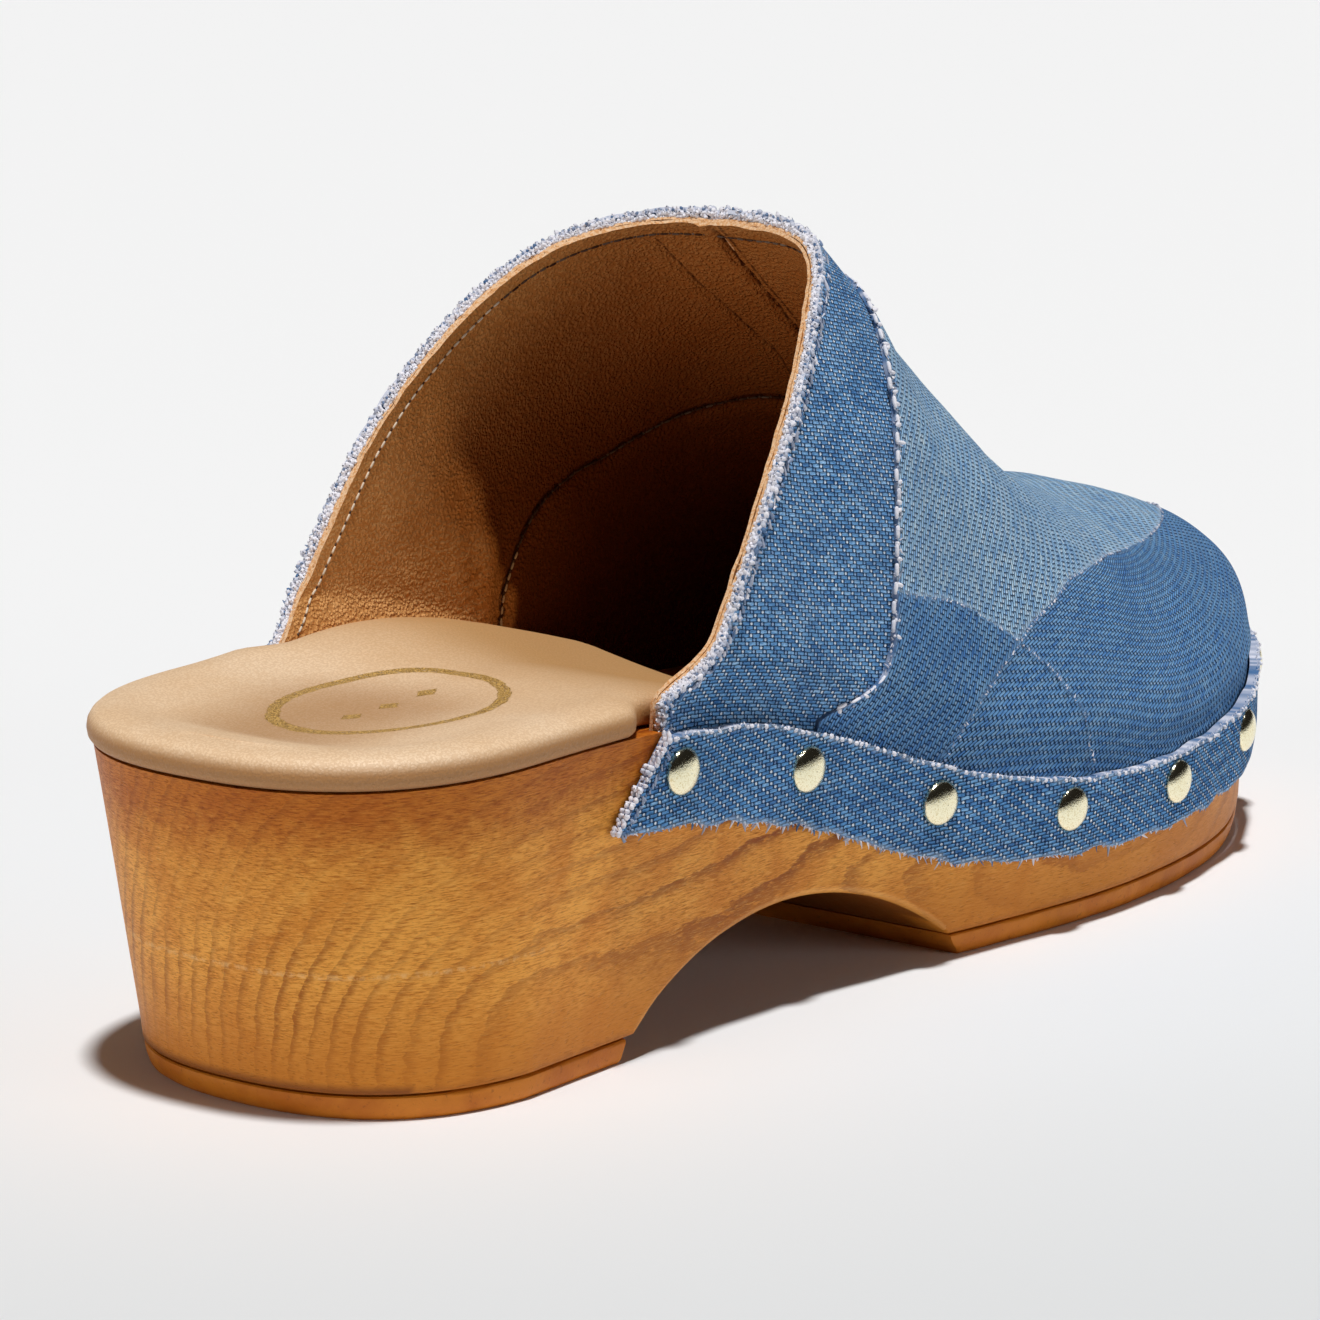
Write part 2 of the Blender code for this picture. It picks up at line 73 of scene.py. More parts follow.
ORIGIN = np.array([(heel_low.x + heel_high.x) / 2, sole_low.y - HEEL_BACK * MM, 0.0])
DETAIL = 1.0
print("the shoe's own origin lies at", ORIGIN.round(4), "m")

# %% [markdown]
# ## Named columns and smooth curves
# A shoe's form is a handful of curves: the outline of the sole, its side view, the last that the
# upper was pulled over. Each is a short table with a row for every place where the curve turns, and
# `smooth` runs a soft curve through the rows. It takes whole arrays, so that a fine grid of points is
# worked out at once.

# %% Tables and curves
def table(names, rows):
    """Named columns from rows of numbers."""
    return {name: np.array([row[k] for row in rows], float) for k, name in enumerate(names.split())}


def smooth(columns, name, at, key="y"):
    """Value of a column at a place, through the rows with a smooth curve."""
    xs, ys = columns[key], columns[name]
    slope = np.zeros(len(xs))
    slope[1:-1] = (ys[2:] - ys[:-2]) / (xs[2:] - xs[:-2])
    at = np.clip(at, xs[0], xs[-1])
    k = np.clip(np.searchsorted(xs, at, side="right") - 1, 0, len(xs) - 2)
    span = xs[k + 1] - xs[k]
    t = (at - xs[k]) / span
    start = (1 + 2 * t) * (1 - t) ** 2
    end = t * t * (3 - 2 * t)
    rise = t * (1 - t) ** 2 * span * slope[k] - t * t * (1 - t) * span * slope[k + 1]
    return start * ys[k] + end * ys[k + 1] + rise


def ease(t):
    """Smooth step from 0 to 1."""
    t = np.clip(t, 0.0, 1.0)
    return t * t * (3 - 2 * t)


def bell(distance, width):
    """1 at distance 0, fading to nothing a little past the width."""
    return np.exp(-(distance / width) ** 2)


# plan of the sole's top edge between its round ends
PLAN = table("y centre half", [
    (25.7, 0.0, 34.7),
    (50.0, 0.1, 34.7),
    (70.0, 0.2, 34.9),
    (90.0, 0.3, 35.7),
    (110.0, 0.3, 38.3),
    (130.0, 0.2, 41.8),
    (150.0, 0.0, 44.7),
    (167.0, -0.4, 45.7),
    (200.0, -1.6, 45.7),
    (245.0, -4.0, 45.7),
])

# side view: the wood's top, and the lower and upper edge of the band
SIDE = table("y wood band_low band_high", [
    (-10.0, 49.3, 36.0, 48.6),
    (45.0, 49.3, 35.6, 48.4),
    (60.0, 48.2, 34.2, 48.2),
    (75.0, 44.8, 31.4, 46.4),
    (90.0, 40.2, 27.4, 42.2),
    (105.0, 35.6, 21.6, 37.0),
    (120.0, 31.4, 16.8, 31.6),
    (135.0, 28.0, 14.2, 27.6),
    (150.0, 25.6, 12.8, 25.0),
    (165.0, 24.4, 12.2, 23.8),
    (180.0, 24.3, 12.2, 23.8),
    (200.0, 25.6, 13.2, 25.2),
    (220.0, 28.4, 16.0, 28.0),
    (245.0, 33.2, 20.6, 32.8),
])

# the last above the sole: half width, height of the crest, how far that lies to the medial side,
# and the power of the cross-section, where 2 is an ellipse and more is squarer
LAST = table("y half crest lean power", [
    (40.0, 37.0, 134.0, 0.0, 2.5),
    (70.0, 37.8, 134.0, 0.0, 2.5),
    (85.0, 38.2, 132.0, 0.0, 2.5),
    (100.0, 38.4, 126.0, 0.0, 2.5),
    (112.0, 39.6, 119.6, 0.0, 2.35),
    (121.0, 40.8, 113.6, 0.0, 2.15),
    (130.0, 42.4, 104.2, 0.5, 2.0),
    (140.0, 44.0, 94.6, 1.0, 2.0),
    (155.0, 46.2, 81.0, 2.0, 2.0),
    (170.0, 47.4, 70.0, 3.0, 2.05),
    (185.0, 47.4, 63.0, 4.0, 2.1),
    (200.0, 47.4, 59.2, 5.0, 2.15),
    (220.0, 47.0, 57.0, 5.5, 2.2),
    (245.0, 46.5, 56.5, 6.0, 2.2),
])

# side view of the topline
TOPLINE = table("y lateral medial", [
    (40.0, 48.5, 50.0),
    (50.0, 50.5, 55.0),
    (55.0, 53.5, 60.0),
    (60.0, 56.5, 67.0),
    (65.0, 61.5, 74.0),
    (70.0, 69.0, 80.5),
    (80.0, 83.0, 91.0),
    (90.0, 95.0, 100.0),
    (100.0, 105.0, 107.2),
    (110.0, 111.0, 111.8),
    (122.0, 114.6, 114.6),
    (135.0, 115.5, 115.5),
])

# width of the collar panel, by angle around the last from the wood's edge to the crest
COLLAR = table("angle width", [
    (0.0, 36.0),
    (5.0, 39.0),
    (13.0, 34.0),
    (20.0, 29.0),
    (29.0, 23.5),
    (44.0, 16.5),
    (55.0, 12.5),
    (70.0, 9.5),
    (90.0, 9.0),
])

# %% [markdown]
# ## The forms that every piece shares
# Pieces that touch have to agree, so the outline of the sole, its leaning sides and the last are
# functions which all of them call. `side` is 1 on the lateral, outer side and -1 on the medial side.
# On the last, an angle of 0 is the lateral edge of the wood, 90 the crest and 180 the medial edge.
# Angles below 0 and above 180 go down behind the band, a millimetre for each degree.

# %% The sole's outline and sides
TOE_TIP = 245.0
HEEL_CAP_DEPTH = 35.7
HEEL_CAP_POWER = 2.36
TOE_CAP_START = 167.0
TOE_CAP_POWER = 2.3
SIDE_DRAFT = 0.048          # how much the sides lean in, per millimetre down
BACK_DRAFT = 0.18


def half_width(y):
    """Half the width of the sole's top edge."""
    back = np.clip((HEEL_BACK + HEEL_CAP_DEPTH - y) / HEEL_CAP_DEPTH, 0, 1)
    front = np.clip((y - TOE_CAP_START) / (TOE_TIP - TOE_CAP_START), 0, 1)
    round_back = (1 - back ** HEEL_CAP_POWER) ** (1 / HEEL_CAP_POWER)
    round_front = (1 - front ** TOE_CAP_POWER) ** (1 / TOE_CAP_POWER)
    return smooth(PLAN, "half", y) * round_back * round_front


def outline(y, side):
    """The sole's top edge in plan."""
    y, side = np.broadcast_arrays(y, side)
    return np.stack([smooth(PLAN, "centre", y) + side * half_width(y), y], -1)


def edge_normal(y, side):
    """Direction straight out from the sole's side, in plan."""
    y, side = np.broadcast_arrays(np.asarray(y, float), np.asarray(side, float))
    inside = np.clip(np.minimum(y - HEEL_BACK, TOE_TIP - y), 0, 1)
    step = 0.25 * inside
    along = outline(y + step, side) - outline(y - step, side)
    across = np.stack([along[..., 1], -along[..., 0]], -1) * side[..., None]
    tip = np.stack([np.zeros_like(y), np.where(y < 0, -1.0, 1.0)], -1)
    across = np.where((inside < 1e-6)[..., None], tip, across)
    return across / np.linalg.norm(across, axis=-1, keepdims=True)


def side_wall(y, side, z, out=0.0):
    """A point of the sole's leaning side at height z, moved outward by out."""
    y, side, z, out = np.broadcast_arrays(*(np.asarray(v, float) for v in (y, side, z, out)))
    normal = edge_normal(y, side)
    draft = SIDE_DRAFT + (BACK_DRAFT - SIDE_DRAFT) * np.clip(-normal[..., 1], 0, 1) ** 0.8
    move = out - draft * (smooth(SIDE, "wood", y) - z)
    plan = outline(y, side) + normal * move[..., None]
    return np.concatenate([plan, z[..., None]], -1)


def flat_normal(y, side):
    plan = edge_normal(y, side)
    return np.concatenate([plan, np.zeros(plan.shape[:-1] + (1,))], -1)


def unit(vectors):
    return vectors / np.maximum(np.linalg.norm(vectors, axis=-1, keepdims=True), 1e-9)


# %% The last and its topline
FLARE_START = 3.0
FLARE_HEIGHT = 9.0
TOE_PROFILE_START = 205.0
TOE_PROFILE_POWER = 2.2
REBATE_START = {1: 54.0, -1: 47.0}
TOPLINE_RANGE = (42.0, 134.0)
HALVINGS = 30


def last_point(y, angle):
    """The upper's outer form, also below the wood's edge for angles under 0 or over 180."""
    y, angle = np.broadcast_arrays(np.asarray(y, float), np.asarray(angle, float))
    side = np.where(angle <= 90, 1.0, -1.0)
    turn = np.radians(np.clip(np.minimum(angle, 180 - angle), 0, 90))
    power = smooth(LAST, "power", y)
    along = np.clip(np.cos(turn), 0, 1) ** (2 / power)
    up = np.sin(turn) ** (2 / power)
    base = smooth(SIDE, "wood", y)
    t = np.clip((y - TOE_PROFILE_START) / (TOE_TIP - TOE_PROFILE_START), 0, 1)
    front = (1 - t ** TOE_PROFILE_POWER) ** (1 / TOE_PROFILE_POWER)
    height = (smooth(LAST, "crest", y) - base) * front * up
    wood = half_width(y)
    full = wood * smooth(LAST, "half", y) / smooth(PLAN, "half", y)
    x = side * along * (wood + (full - wood) * ease((height - FLARE_START) / FLARE_HEIGHT))
    x = x + smooth(PLAN, "centre", y) * (1 - up) - smooth(LAST, "lean", y) * up * front
    point = np.stack([x, y, base + height], -1)
    below = np.maximum(-angle, angle - 180)
    margin = side_wall(y, side, base - np.maximum(below, 0))
    return np.where((below > 0)[..., None], margin, point)


def last_normal(y, angle):
    """Outward direction of the last, by small steps forward and around."""
    y, angle = np.broadcast_arrays(np.asarray(y, float), np.asarray(angle, float))
    step = 0.2 * np.clip(TOE_TIP - y, 0, 1)
    forward = last_point(y + step, angle) - last_point(y - step, angle)
    around = last_point(y, angle + 0.4) - last_point(y, angle - 0.4)
    normal = np.cross(forward, around)
    side = np.where(angle <= 90, 1.0, -1.0)
    low = (np.minimum(angle, 180 - angle) <= 0) | (TOE_TIP - y < 0.01)
    return unit(np.where(low[..., None], flat_normal(y, side), normal))


def topline(angle):
    """Where the topline crosses a line of the last."""
    angle = np.asarray(angle, float)
    low, high = (np.full(angle.shape, end) for end in TOPLINE_RANGE)
    for _ in range(HALVINGS):
        middle = (low + high) / 2
        wanted = np.where(angle <= 90, smooth(TOPLINE, "lateral", middle), smooth(TOPLINE, "medial", middle))
        above = wanted > last_point(middle, np.clip(angle, 0, 180))[..., 2]
        low = np.where(above, low, middle)
        high = np.where(above, middle, high)
    return np.maximum(np.where(angle <= 90, REBATE_START[1], REBATE_START[-1]), high)


def seam(angle):
    """Where the vamp's rear edge crosses a line of the last."""
    around = np.clip(np.minimum(angle, 180 - np.asarray(angle, float)), 0, 90)
    return topline(angle) + smooth(COLLAR, "width", around, key="angle")


# %% Lengths over the last
TABLE_STEP = 2.5
GIRTH_Y = np.arange(40.0, TOE_TIP + 0.1, TABLE_STEP)
GIRTH_ANGLE = 90 * np.linspace(0, 1, 41) ** 1.5
JUST_OVER = 1.001           # keeps a looked-up place short of the last row


def girth_table(mirror):
    """Length over the last from the wood's edge up to each angle, at each place along the shoe."""
    angle = 180 - GIRTH_ANGLE if mirror else GIRTH_ANGLE
    points = last_point(GIRTH_Y[:, None], angle[None, :])
    steps = np.linalg.norm(np.diff(points, axis=1), axis=-1)
    return np.concatenate([np.zeros((len(GIRTH_Y), 1)), np.cumsum(steps, 1)], 1)


GIRTH = {1: girth_table(False), -1: girth_table(True)}


def look_up(values, y, around):
    """A value of a girth table between its rows and columns."""
    row = np.clip((y - GIRTH_Y[0]) / TABLE_STEP, 0, len(GIRTH_Y) - JUST_OVER)
    column = np.interp(around, GIRTH_ANGLE, np.arange(len(GIRTH_ANGLE)))
    column = np.clip(column, 0, len(GIRTH_ANGLE) - JUST_OVER)
    i, k = row.astype(int), column.astype(int)
    past_row, past_column = row - i, column - k
    low = values[i, k] * (1 - past_column) + values[i, k + 1] * past_column
    high = values[i + 1, k] * (1 - past_column) + values[i + 1, k + 1] * past_column
    return low * (1 - past_row) + high * past_row


def girth(y, angle):
    """Length over the last from the nearer wood's edge; below that edge it is negative."""
    y, angle = np.broadcast_arrays(np.asarray(y, float), np.asarray(angle, float))
    around = np.minimum(angle, 180 - angle)
    up = np.clip(around, 0, 90)
    length = np.where(angle <= 90, look_up(GIRTH[1], y, up), look_up(GIRTH[-1], y, up))
    return length + np.minimum(around, 0)


def half_girth(y, angle):
    """Length from the wood's edge to the crest on the same side."""
    y, angle = np.broadcast_arrays(np.asarray(y, float), np.asarray(angle, float))
    top = np.full(y.shape, 90.0)
    return np.where(angle <= 90, look_up(GIRTH[1], y, top), look_up(GIRTH[-1], y, top))


# %% The route around the sole's edge
def route(start, medial_start):
    """Lengths along the sole's edge from the lateral side round the toe to the medial side."""
    turn = np.linspace(0, math.pi / 2, 60)
    near_tip = TOE_CAP_START + (TOE_TIP - TOE_CAP_START) * np.sin(turn)
    lateral = np.concatenate([np.linspace(start, TOE_CAP_START, 60)[:-1], near_tip])
    medial = np.concatenate([np.linspace(medial_start, TOE_CAP_START, 60)[:-1], near_tip])[::-1]
    unfolded = np.concatenate([lateral, 2 * TOE_TIP - medial[1:]])
    steps = np.linalg.norm(np.diff(outline(*place_on(unfolded)), axis=0), axis=-1)
    return unfolded, np.concatenate([[0.0], np.cumsum(steps)])


def place_on(unfolded):
    """Place along the shoe and side, from a coordinate that keeps growing past the toe's tip."""
    past = unfolded > TOE_TIP
    return np.where(past, 2 * TOE_TIP - unfolded, unfolded), np.where(past, -1.0, 1.0)


def along_route(path, at):
    unfolded, lengths = path
    return place_on(np.interp(at, lengths, unfolded))


EDGE_ROUTE = route(0.0, 0.0)


def edge_length(y, side):
    """Length along the sole's edge, for laying cloth around the toe without stretching it."""
    unfolded = np.where(side > 0, y, 2 * TOE_TIP - y)
    return np.interp(unfolded, EDGE_ROUTE[0], EDGE_ROUTE[1])


# %% Lengths for laying cloth over the last
CLOTH_ORIGIN_Y = 150.0


def run_table(mirror):
    """Length along each line of the last, from the place where all cloth lengths are counted."""
    angle = 180 - GIRTH_ANGLE if mirror else GIRTH_ANGLE
    points = last_point(GIRTH_Y[:, None], angle[None, :])
    steps = np.linalg.norm(np.diff(points, axis=0), axis=-1)
    run = np.concatenate([np.zeros((1, len(angle))), np.cumsum(steps, 0)])
    start = (CLOTH_ORIGIN_Y - GIRTH_Y[0]) / TABLE_STEP
    return run - run[int(start)]


RUN = {1: run_table(False), -1: run_table(True)}


def cloth_map(y, angle):
    """Flat cloth coordinates in millimetres: length along the shoe, and girth from the lateral edge."""
    y, angle = np.broadcast_arrays(np.asarray(y, float), np.asarray(angle, float))
    around = np.clip(np.minimum(angle, 180 - angle), 0, 90)
    along = np.where(angle <= 90, look_up(RUN[1], y, around), look_up(RUN[-1], y, around))
    lateral = angle <= 90
    far_side = half_girth(y, np.zeros(y.shape)) + half_girth(y, np.full(y.shape, 180.0)) - girth(y, angle)
    return np.stack([along, np.where(lateral, girth(y, angle), far_side)], -1)


# %% [markdown]
# ## Meshes from grids
# Most pieces are a grid of points: stations along the shoe in one direction, points around a section
# in the other. `surface` closes a solid from sections. `shell` makes a sheet with a thickness, whose
# outer face, inner face and cut edge can each have a finish of their own. Values that the finishes
# need, such as the distance to a seam, are kept at the mesh's points by name.

# %% Mesh helpers
def grid_faces(rows, columns, wrap=False, first=0, flip=False):
    """Corner numbers of the quads of a grid."""
    number = first + np.arange(rows * columns).reshape(rows, columns)
    if wrap:
        number = np.concatenate([number, number[:, :1]], 1)
    corners = [number[:-1, :-1], number[:-1, 1:], number[1:, 1:], number[1:, :-1]]
    if flip:
        corners = corners[::-1]
    return np.stack(corners, -1).reshape(-1, 4)


def make_piece(name, points, faces, finishes, values=None, maps=None, which=None, merge=0.002):
    """A mesh object in the frame that rides on the shoe; which gives each face its finish."""
    mesh = bpy.data.meshes.new(name)
    points = np.asarray(points, float).reshape(-1, 3) * MM + ORIGIN
    faces = np.asarray(faces)
    mesh.vertices.add(len(points))
    mesh.vertices.foreach_set("co", points.ravel())
    mesh.loops.add(faces.size)
    mesh.loops.foreach_set("vertex_index", faces.ravel())
    mesh.polygons.add(len(faces))
    mesh.polygons.foreach_set("loop_start", np.arange(len(faces)) * faces.shape[1])
    mesh.update(calc_edges=True)
    for finish in finishes:
        mesh.materials.append(finish)
    if which is not None:
        mesh.polygons.foreach_set("material_index", np.asarray(which, np.int32))
    for value_name, value in (values or {}).items():
        held = mesh.attributes.new(value_name, "FLOAT", "POINT")
        held.data.foreach_set("value", np.asarray(value, np.float32).ravel())
    for map_name, flat in (maps or {}).items():
        held = mesh.uv_layers.new(name=map_name)
        held.data.foreach_set("uv", np.asarray(flat, np.float32).reshape(-1, 2)[faces.ravel()].ravel())
    if merge:
        shape = bmesh.new()
        shape.from_mesh(mesh)
        bmesh.ops.remove_doubles(shape, verts=shape.verts, dist=merge * MM)
        bmesh.ops.dissolve_degenerate(shape, edges=shape.edges, dist=merge * MM / 2)
        shape.to_mesh(mesh)
        shape.free()
    mesh.shade_smooth()
    made = bpy.data.objects.new(name, mesh)
    bpy.context.scene.collection.objects.link(made)
    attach(made, "root")
    return made


def surface(name, sections, finishes, values=None, sharp=40):
    """A closed solid from closed sections that meet in a line at both ends."""
    sections = np.asarray(sections)
    rows, columns = sections.shape[:2]
    made = make_piece(name, sections, grid_faces(rows, columns, wrap=True), finishes, values)
    shape = bmesh.new()
    shape.from_mesh(made.data)
    bmesh.ops.recalc_face_normals(shape, faces=shape.faces)
    if shape.calc_volume(signed=True) < 0:
        bmesh.ops.reverse_faces(shape, faces=shape.faces)
    shape.to_mesh(made.data)
    shape.free()
    made.data.set_sharp_from_angle(angle=math.radians(sharp))
    return made


SHEET_SHARP = 50            # degrees; a sheet's cut edge stays crisp


def shell(name, outer, inner, finishes, values=None, maps=None):
    """A sheet from its outer and inner grid; finishes are for outer face, inner face and cut edge."""
    outer, inner = np.asarray(outer), np.asarray(inner)
    rows, columns = outer.shape[:2]
    count = rows * columns
    number = np.arange(count).reshape(rows, columns)
    border = np.concatenate([number[0, :-1], number[:-1, -1], number[-1, :0:-1], number[:0:-1, 0]])
    following = np.roll(border, -1)
    rim = np.stack([border, border + count, following + count, following], -1)
    face_out = grid_faces(rows, columns)
    face_in = grid_faces(rows, columns, first=count, flip=True)
    faces = np.concatenate([face_out, face_in, rim])
    which = np.repeat([0, 1, 2], [len(face_out), len(face_in), len(rim)])
    points = np.concatenate([outer.reshape(-1, 3), inner.reshape(-1, 3)])
    doubled = {k: np.concatenate([np.ravel(v), np.ravel(v)]) for k, v in (values or {}).items()}
    flat = {k: np.concatenate([v.reshape(-1, 2), v.reshape(-1, 2)]) for k, v in (maps or {}).items()}
    made = make_piece(name, points, faces, finishes, doubled, flat, which)
    made.data.set_sharp_from_angle(angle=math.radians(SHEET_SHARP))
    return made


WAVE_COUNT = 8
WAVE_HEIGHT = 3.4           # brings the sum of the waves back to about 1


def waves(seed, *where, size=10.0):
    """Soft irregular waves, mostly between -1 and 1, over coordinates in millimetres."""
    dice = np.random.default_rng(seed)
    total = 0.0
    for _ in range(WAVE_COUNT):
        direction = dice.normal(size=len(where))
        direction = direction / np.linalg.norm(direction) * dice.uniform(0.6, 1.5)
        turn = sum(np.asarray(w, float) * d for w, d in zip(where, direction))
        total = total + np.sin(turn * 2 * math.pi / size + dice.uniform(0, 2 * math.pi))
    return total / WAVE_HEIGHT


# %% [markdown]
# ## Paths along edges and seams
# Stitches, thread ends and knots all sit along a line on the shoe: the topline, a seam, an edge of the
# band. `Path` keeps such a line with three directions at every point: along it, out from the surface,
# and out past the edge.

# %% Paths
class Path:
    """A line on the shoe with its directions, looked up by length in millimetres."""

    def __init__(self, points, outward, beyond):
        steps = np.linalg.norm(np.diff(points, axis=0), axis=-1)
        self.lengths = np.concatenate([[0.0], np.cumsum(steps)])
        self.length = self.lengths[-1]
        self.points = points
        along = unit(np.gradient(points, axis=0))
        self.along = along
        self.outward = unit(outward - along * (outward * along).sum(-1, keepdims=True))
        past = np.cross(along, self.outward)
        turned = np.sign((past * beyond).sum(-1, keepdims=True))
        self.past = past * np.where(turned == 0, 1, turned)

    def at(self, lengths):
        """Points, along, outward and past-the-edge directions at these lengths."""
        found = []
        for field in (self.points, self.along, self.outward, self.past):
            found.append(np.stack([np.interp(lengths, self.lengths, field[:, k]) for k in range(3)], -1))
        return found[0], unit(found[1]), unit(found[2]), unit(found[3])


def path_on_last(y, angle, height, beyond=(0.0, -1.0, 0.0)):
    """A path at a height over the last, through places that lie close together."""
    normal = last_normal(y, angle)
    points = last_point(y, angle) + normal * np.asarray(height)[..., None]
    return Path(points, normal, np.asarray(beyond))


def circles(across, up, sides):
    """Directions round a circle, for each pair of crossing directions."""
    turn = np.linspace(0, 2 * math.pi, sides, endpoint=False)
    return np.cos(turn)[:, None] * across[:, None] + np.sin(turn)[:, None] * up[:, None]


def rod_faces(count, rings, sides):
    """Faces of many rods in one mesh, each of so many rings of points."""
    one = grid_faces(rings, sides, wrap=True)
    return (one[None] + np.arange(count)[:, None, None] * rings * sides).reshape(-1, 4)


def yarns(name, roots, directions, lengths, radii, finish, shade, bend=None, profile=(1.0, 0.9, 0.6, 0.15),
          sides=4):
    """Short ends of yarn, joined in one mesh: each is a thin rod from its root, with a bend."""
    count, rings = len(roots), len(profile)
    directions = unit(directions)
    helper = np.where(np.abs(directions[:, 2:]) > 0.8, np.array([[1.0, 0, 0]]), np.array([[0, 0, 1.0]]))
    across = unit(np.cross(directions, helper))
    up = np.cross(directions, across)
    t = np.linspace(0, 1, rings)[None, :, None]
    lengths = np.broadcast_to(lengths, (count,))[:, None, None]
    centre = roots[:, None] + directions[:, None] * lengths * t
    if bend is not None:
        centre = centre + bend[:, None] * t ** 2
    width = np.broadcast_to(radii, (count,))[:, None] * np.asarray(profile)[None]
    points = centre[:, :, None] + circles(across, up, sides)[:, None] * width[:, :, None, None]
    shades = np.repeat(shade, rings * sides)
    return make_piece(name, points, rod_faces(count, rings, sides), [finish], {"shade": shades}, merge=0)


# %% [markdown]
# ## Effects shared by several finishes
# Every surface here is worked out from a few effects: the twill weave of denim, the grain of
# leather, the growth rings of the wood, wear and painted shade along an edge, and cloudy changes of
# tone. Each is made once as a group of nodes with named inputs, in millimetres, so that the groups can
# be used on other things.

# %% Short calls for nodes
class Nodes:
    """Adds nodes to a tree and joins them."""

    def __init__(self, tree):
        self.tree = tree

    def add(self, kind, *values, **settings):
        node = self.tree.nodes.new("ShaderNode" + kind)
        for name, value in settings.items():
            setattr(node, name, value)
        for socket, value in zip(node.inputs, values):
            self.give(socket, value)
        return node

    def give(self, socket, value):
        if isinstance(value, bpy.types.NodeSocket):
            self.tree.links.new(value, socket)
        elif value is not None:
            socket.default_value = value

    def math(self, operation, *values):
        return self.add("Math", *values, operation=operation).outputs[0]

    def times(self, first, second):
        return self.math("MULTIPLY", first, second)

    def plus(self, first, second):
        return self.math("ADD", first, second)

    def minus(self, first, second):
        return self.math("SUBTRACT", first, second)

    def over(self, first, second):
        return self.math("DIVIDE", first, second)

    def vector(self, operation, *values):
        return self.add("VectorMath", *values, operation=operation).outputs[0]

    def split(self, vector):
        return self.add("SeparateXYZ", vector).outputs

    def join(self, x, y, z=0.0):
        return self.add("CombineXYZ", x, y, z).outputs[0]

    def fit(self, value, low, high, to_low=0.0, to_high=1.0, soft=True):
        kind = "SMOOTHSTEP" if soft else "LINEAR"
        return self.add("MapRange", value, low, high, to_low, to_high, interpolation_type=kind).outputs[0]

    def noise(self, where, scale, detail=2.0, rough=0.5, distortion=0.0):
        node = self.add("TexNoise")
        self.give(node.inputs["Vector"], where)
        self.give(node.inputs["Scale"], scale)
        self.give(node.inputs["Detail"], detail)
        self.give(node.inputs["Roughness"], rough)
        self.give(node.inputs["Distortion"], distortion)
        return node.outputs[0]

    def stretched_noise(self, where, stretch, *settings):
        """Noise drawn out in some directions: a smaller number of the stretch gives longer streaks."""
        return self.noise(self.vector("MULTIPLY", where, stretch), 1.0, *settings)

    def random(self, where):
        return self.add("TexWhiteNoise", where, noise_dimensions="3D").outputs["Value"]

    def mix(self, share, first, second, blend="MIX"):
        node = self.add("Mix", data_type="RGBA", blend_type=blend)
        self.give(node.inputs[0], share)
        self.give(node.inputs[6], colour(first))
        self.give(node.inputs[7], colour(second))
        return node.outputs[2]

    def bump(self, height, distance):
        node = self.add("Bump")
        self.give(node.inputs["Strength"], 1.0)
        self.give(node.inputs["Distance"], distance * MM)
        self.give(node.inputs["Height"], height)
        return node.outputs["Normal"]

    def kept(self, name):
        return self.add("Attribute", attribute_name=name).outputs["Fac"]

    def flat(self, name):
        return self.add("UVMap", uv_map=name).outputs[0]

    def shoe_place(self):
        """Place in the shoe's own coordinates, in millimetres."""
        here = self.add("TexCoord").outputs["Object"]
        return self.add("VectorMath", self.vector("SUBTRACT", here, tuple(ORIGIN)), None, None, 1 / MM,
                        operation="SCALE").outputs[0]

    def coat(self, shader, tone, roughness, specular=0.5, normal=None):
        """Joins colour, roughness, reflection and relief to a surface shader."""
        self.give(shader["Base Color"], tone)
        self.give(shader["Roughness"], roughness)
        self.give(shader["Specular IOR Level"], specular)
        self.give(shader["Normal"], normal)

    def effect(self, group, **values):
        """An instance of a shared effect, with its inputs given by name."""
        node = self.tree.nodes.new("ShaderNodeGroup")
        node.node_tree = group
        for name, value in values.items():
            self.give(node.inputs[name.replace("_", " ")], value)
        return node.outputs


def colour(value):
    """A colour of three numbers gets the fourth that nodes ask for."""
    return (*value, 1.0) if isinstance(value, tuple) and len(value) == 3 else value


def effect_group(name, inputs, outputs):
    """A new node group with named inputs and outputs, and short calls for filling it."""
    tree = bpy.data.node_groups.new(name, "ShaderNodeTree")
    for socket_name, default in inputs.items():
        kind = "NodeSocketVector" if default is None else "NodeSocketFloat"
        made = tree.interface.new_socket(socket_name, in_out="INPUT", socket_type=kind)
        if default is not None:
            made.default_value = default
    for socket_name in outputs:
        tree.interface.new_socket(socket_name, in_out="OUTPUT", socket_type="NodeSocketFloat")
    nodes = Nodes(tree)
    return tree, nodes, tree.nodes.new("NodeGroupInput").outputs, tree.nodes.new("NodeGroupOutput").inputs


# %% [markdown]
# ### Twill weave
# Denim is a two-to-one twill: each blue warp yarn floats over two picks of undyed weft and dives
# under the third, one pick later than its neighbour. That draws slanting lines of pale specks with a
# dark hole beside each, whose shade is painted. The group repeats the rule, and gives the relief of the
# floats, a mask of the weft that shows, a mask of the holes and the gaps between floats for painted
# shade, fibres along the yarns and a random tone for every float.

# %% Twill group
REPEAT = 3.0
WEFT_ROUND = (1.2, 1.7)     # how quickly a speck of weft falls away across and along itself
WEFT_LOW = 0.75             # its height beside a warp float's 1


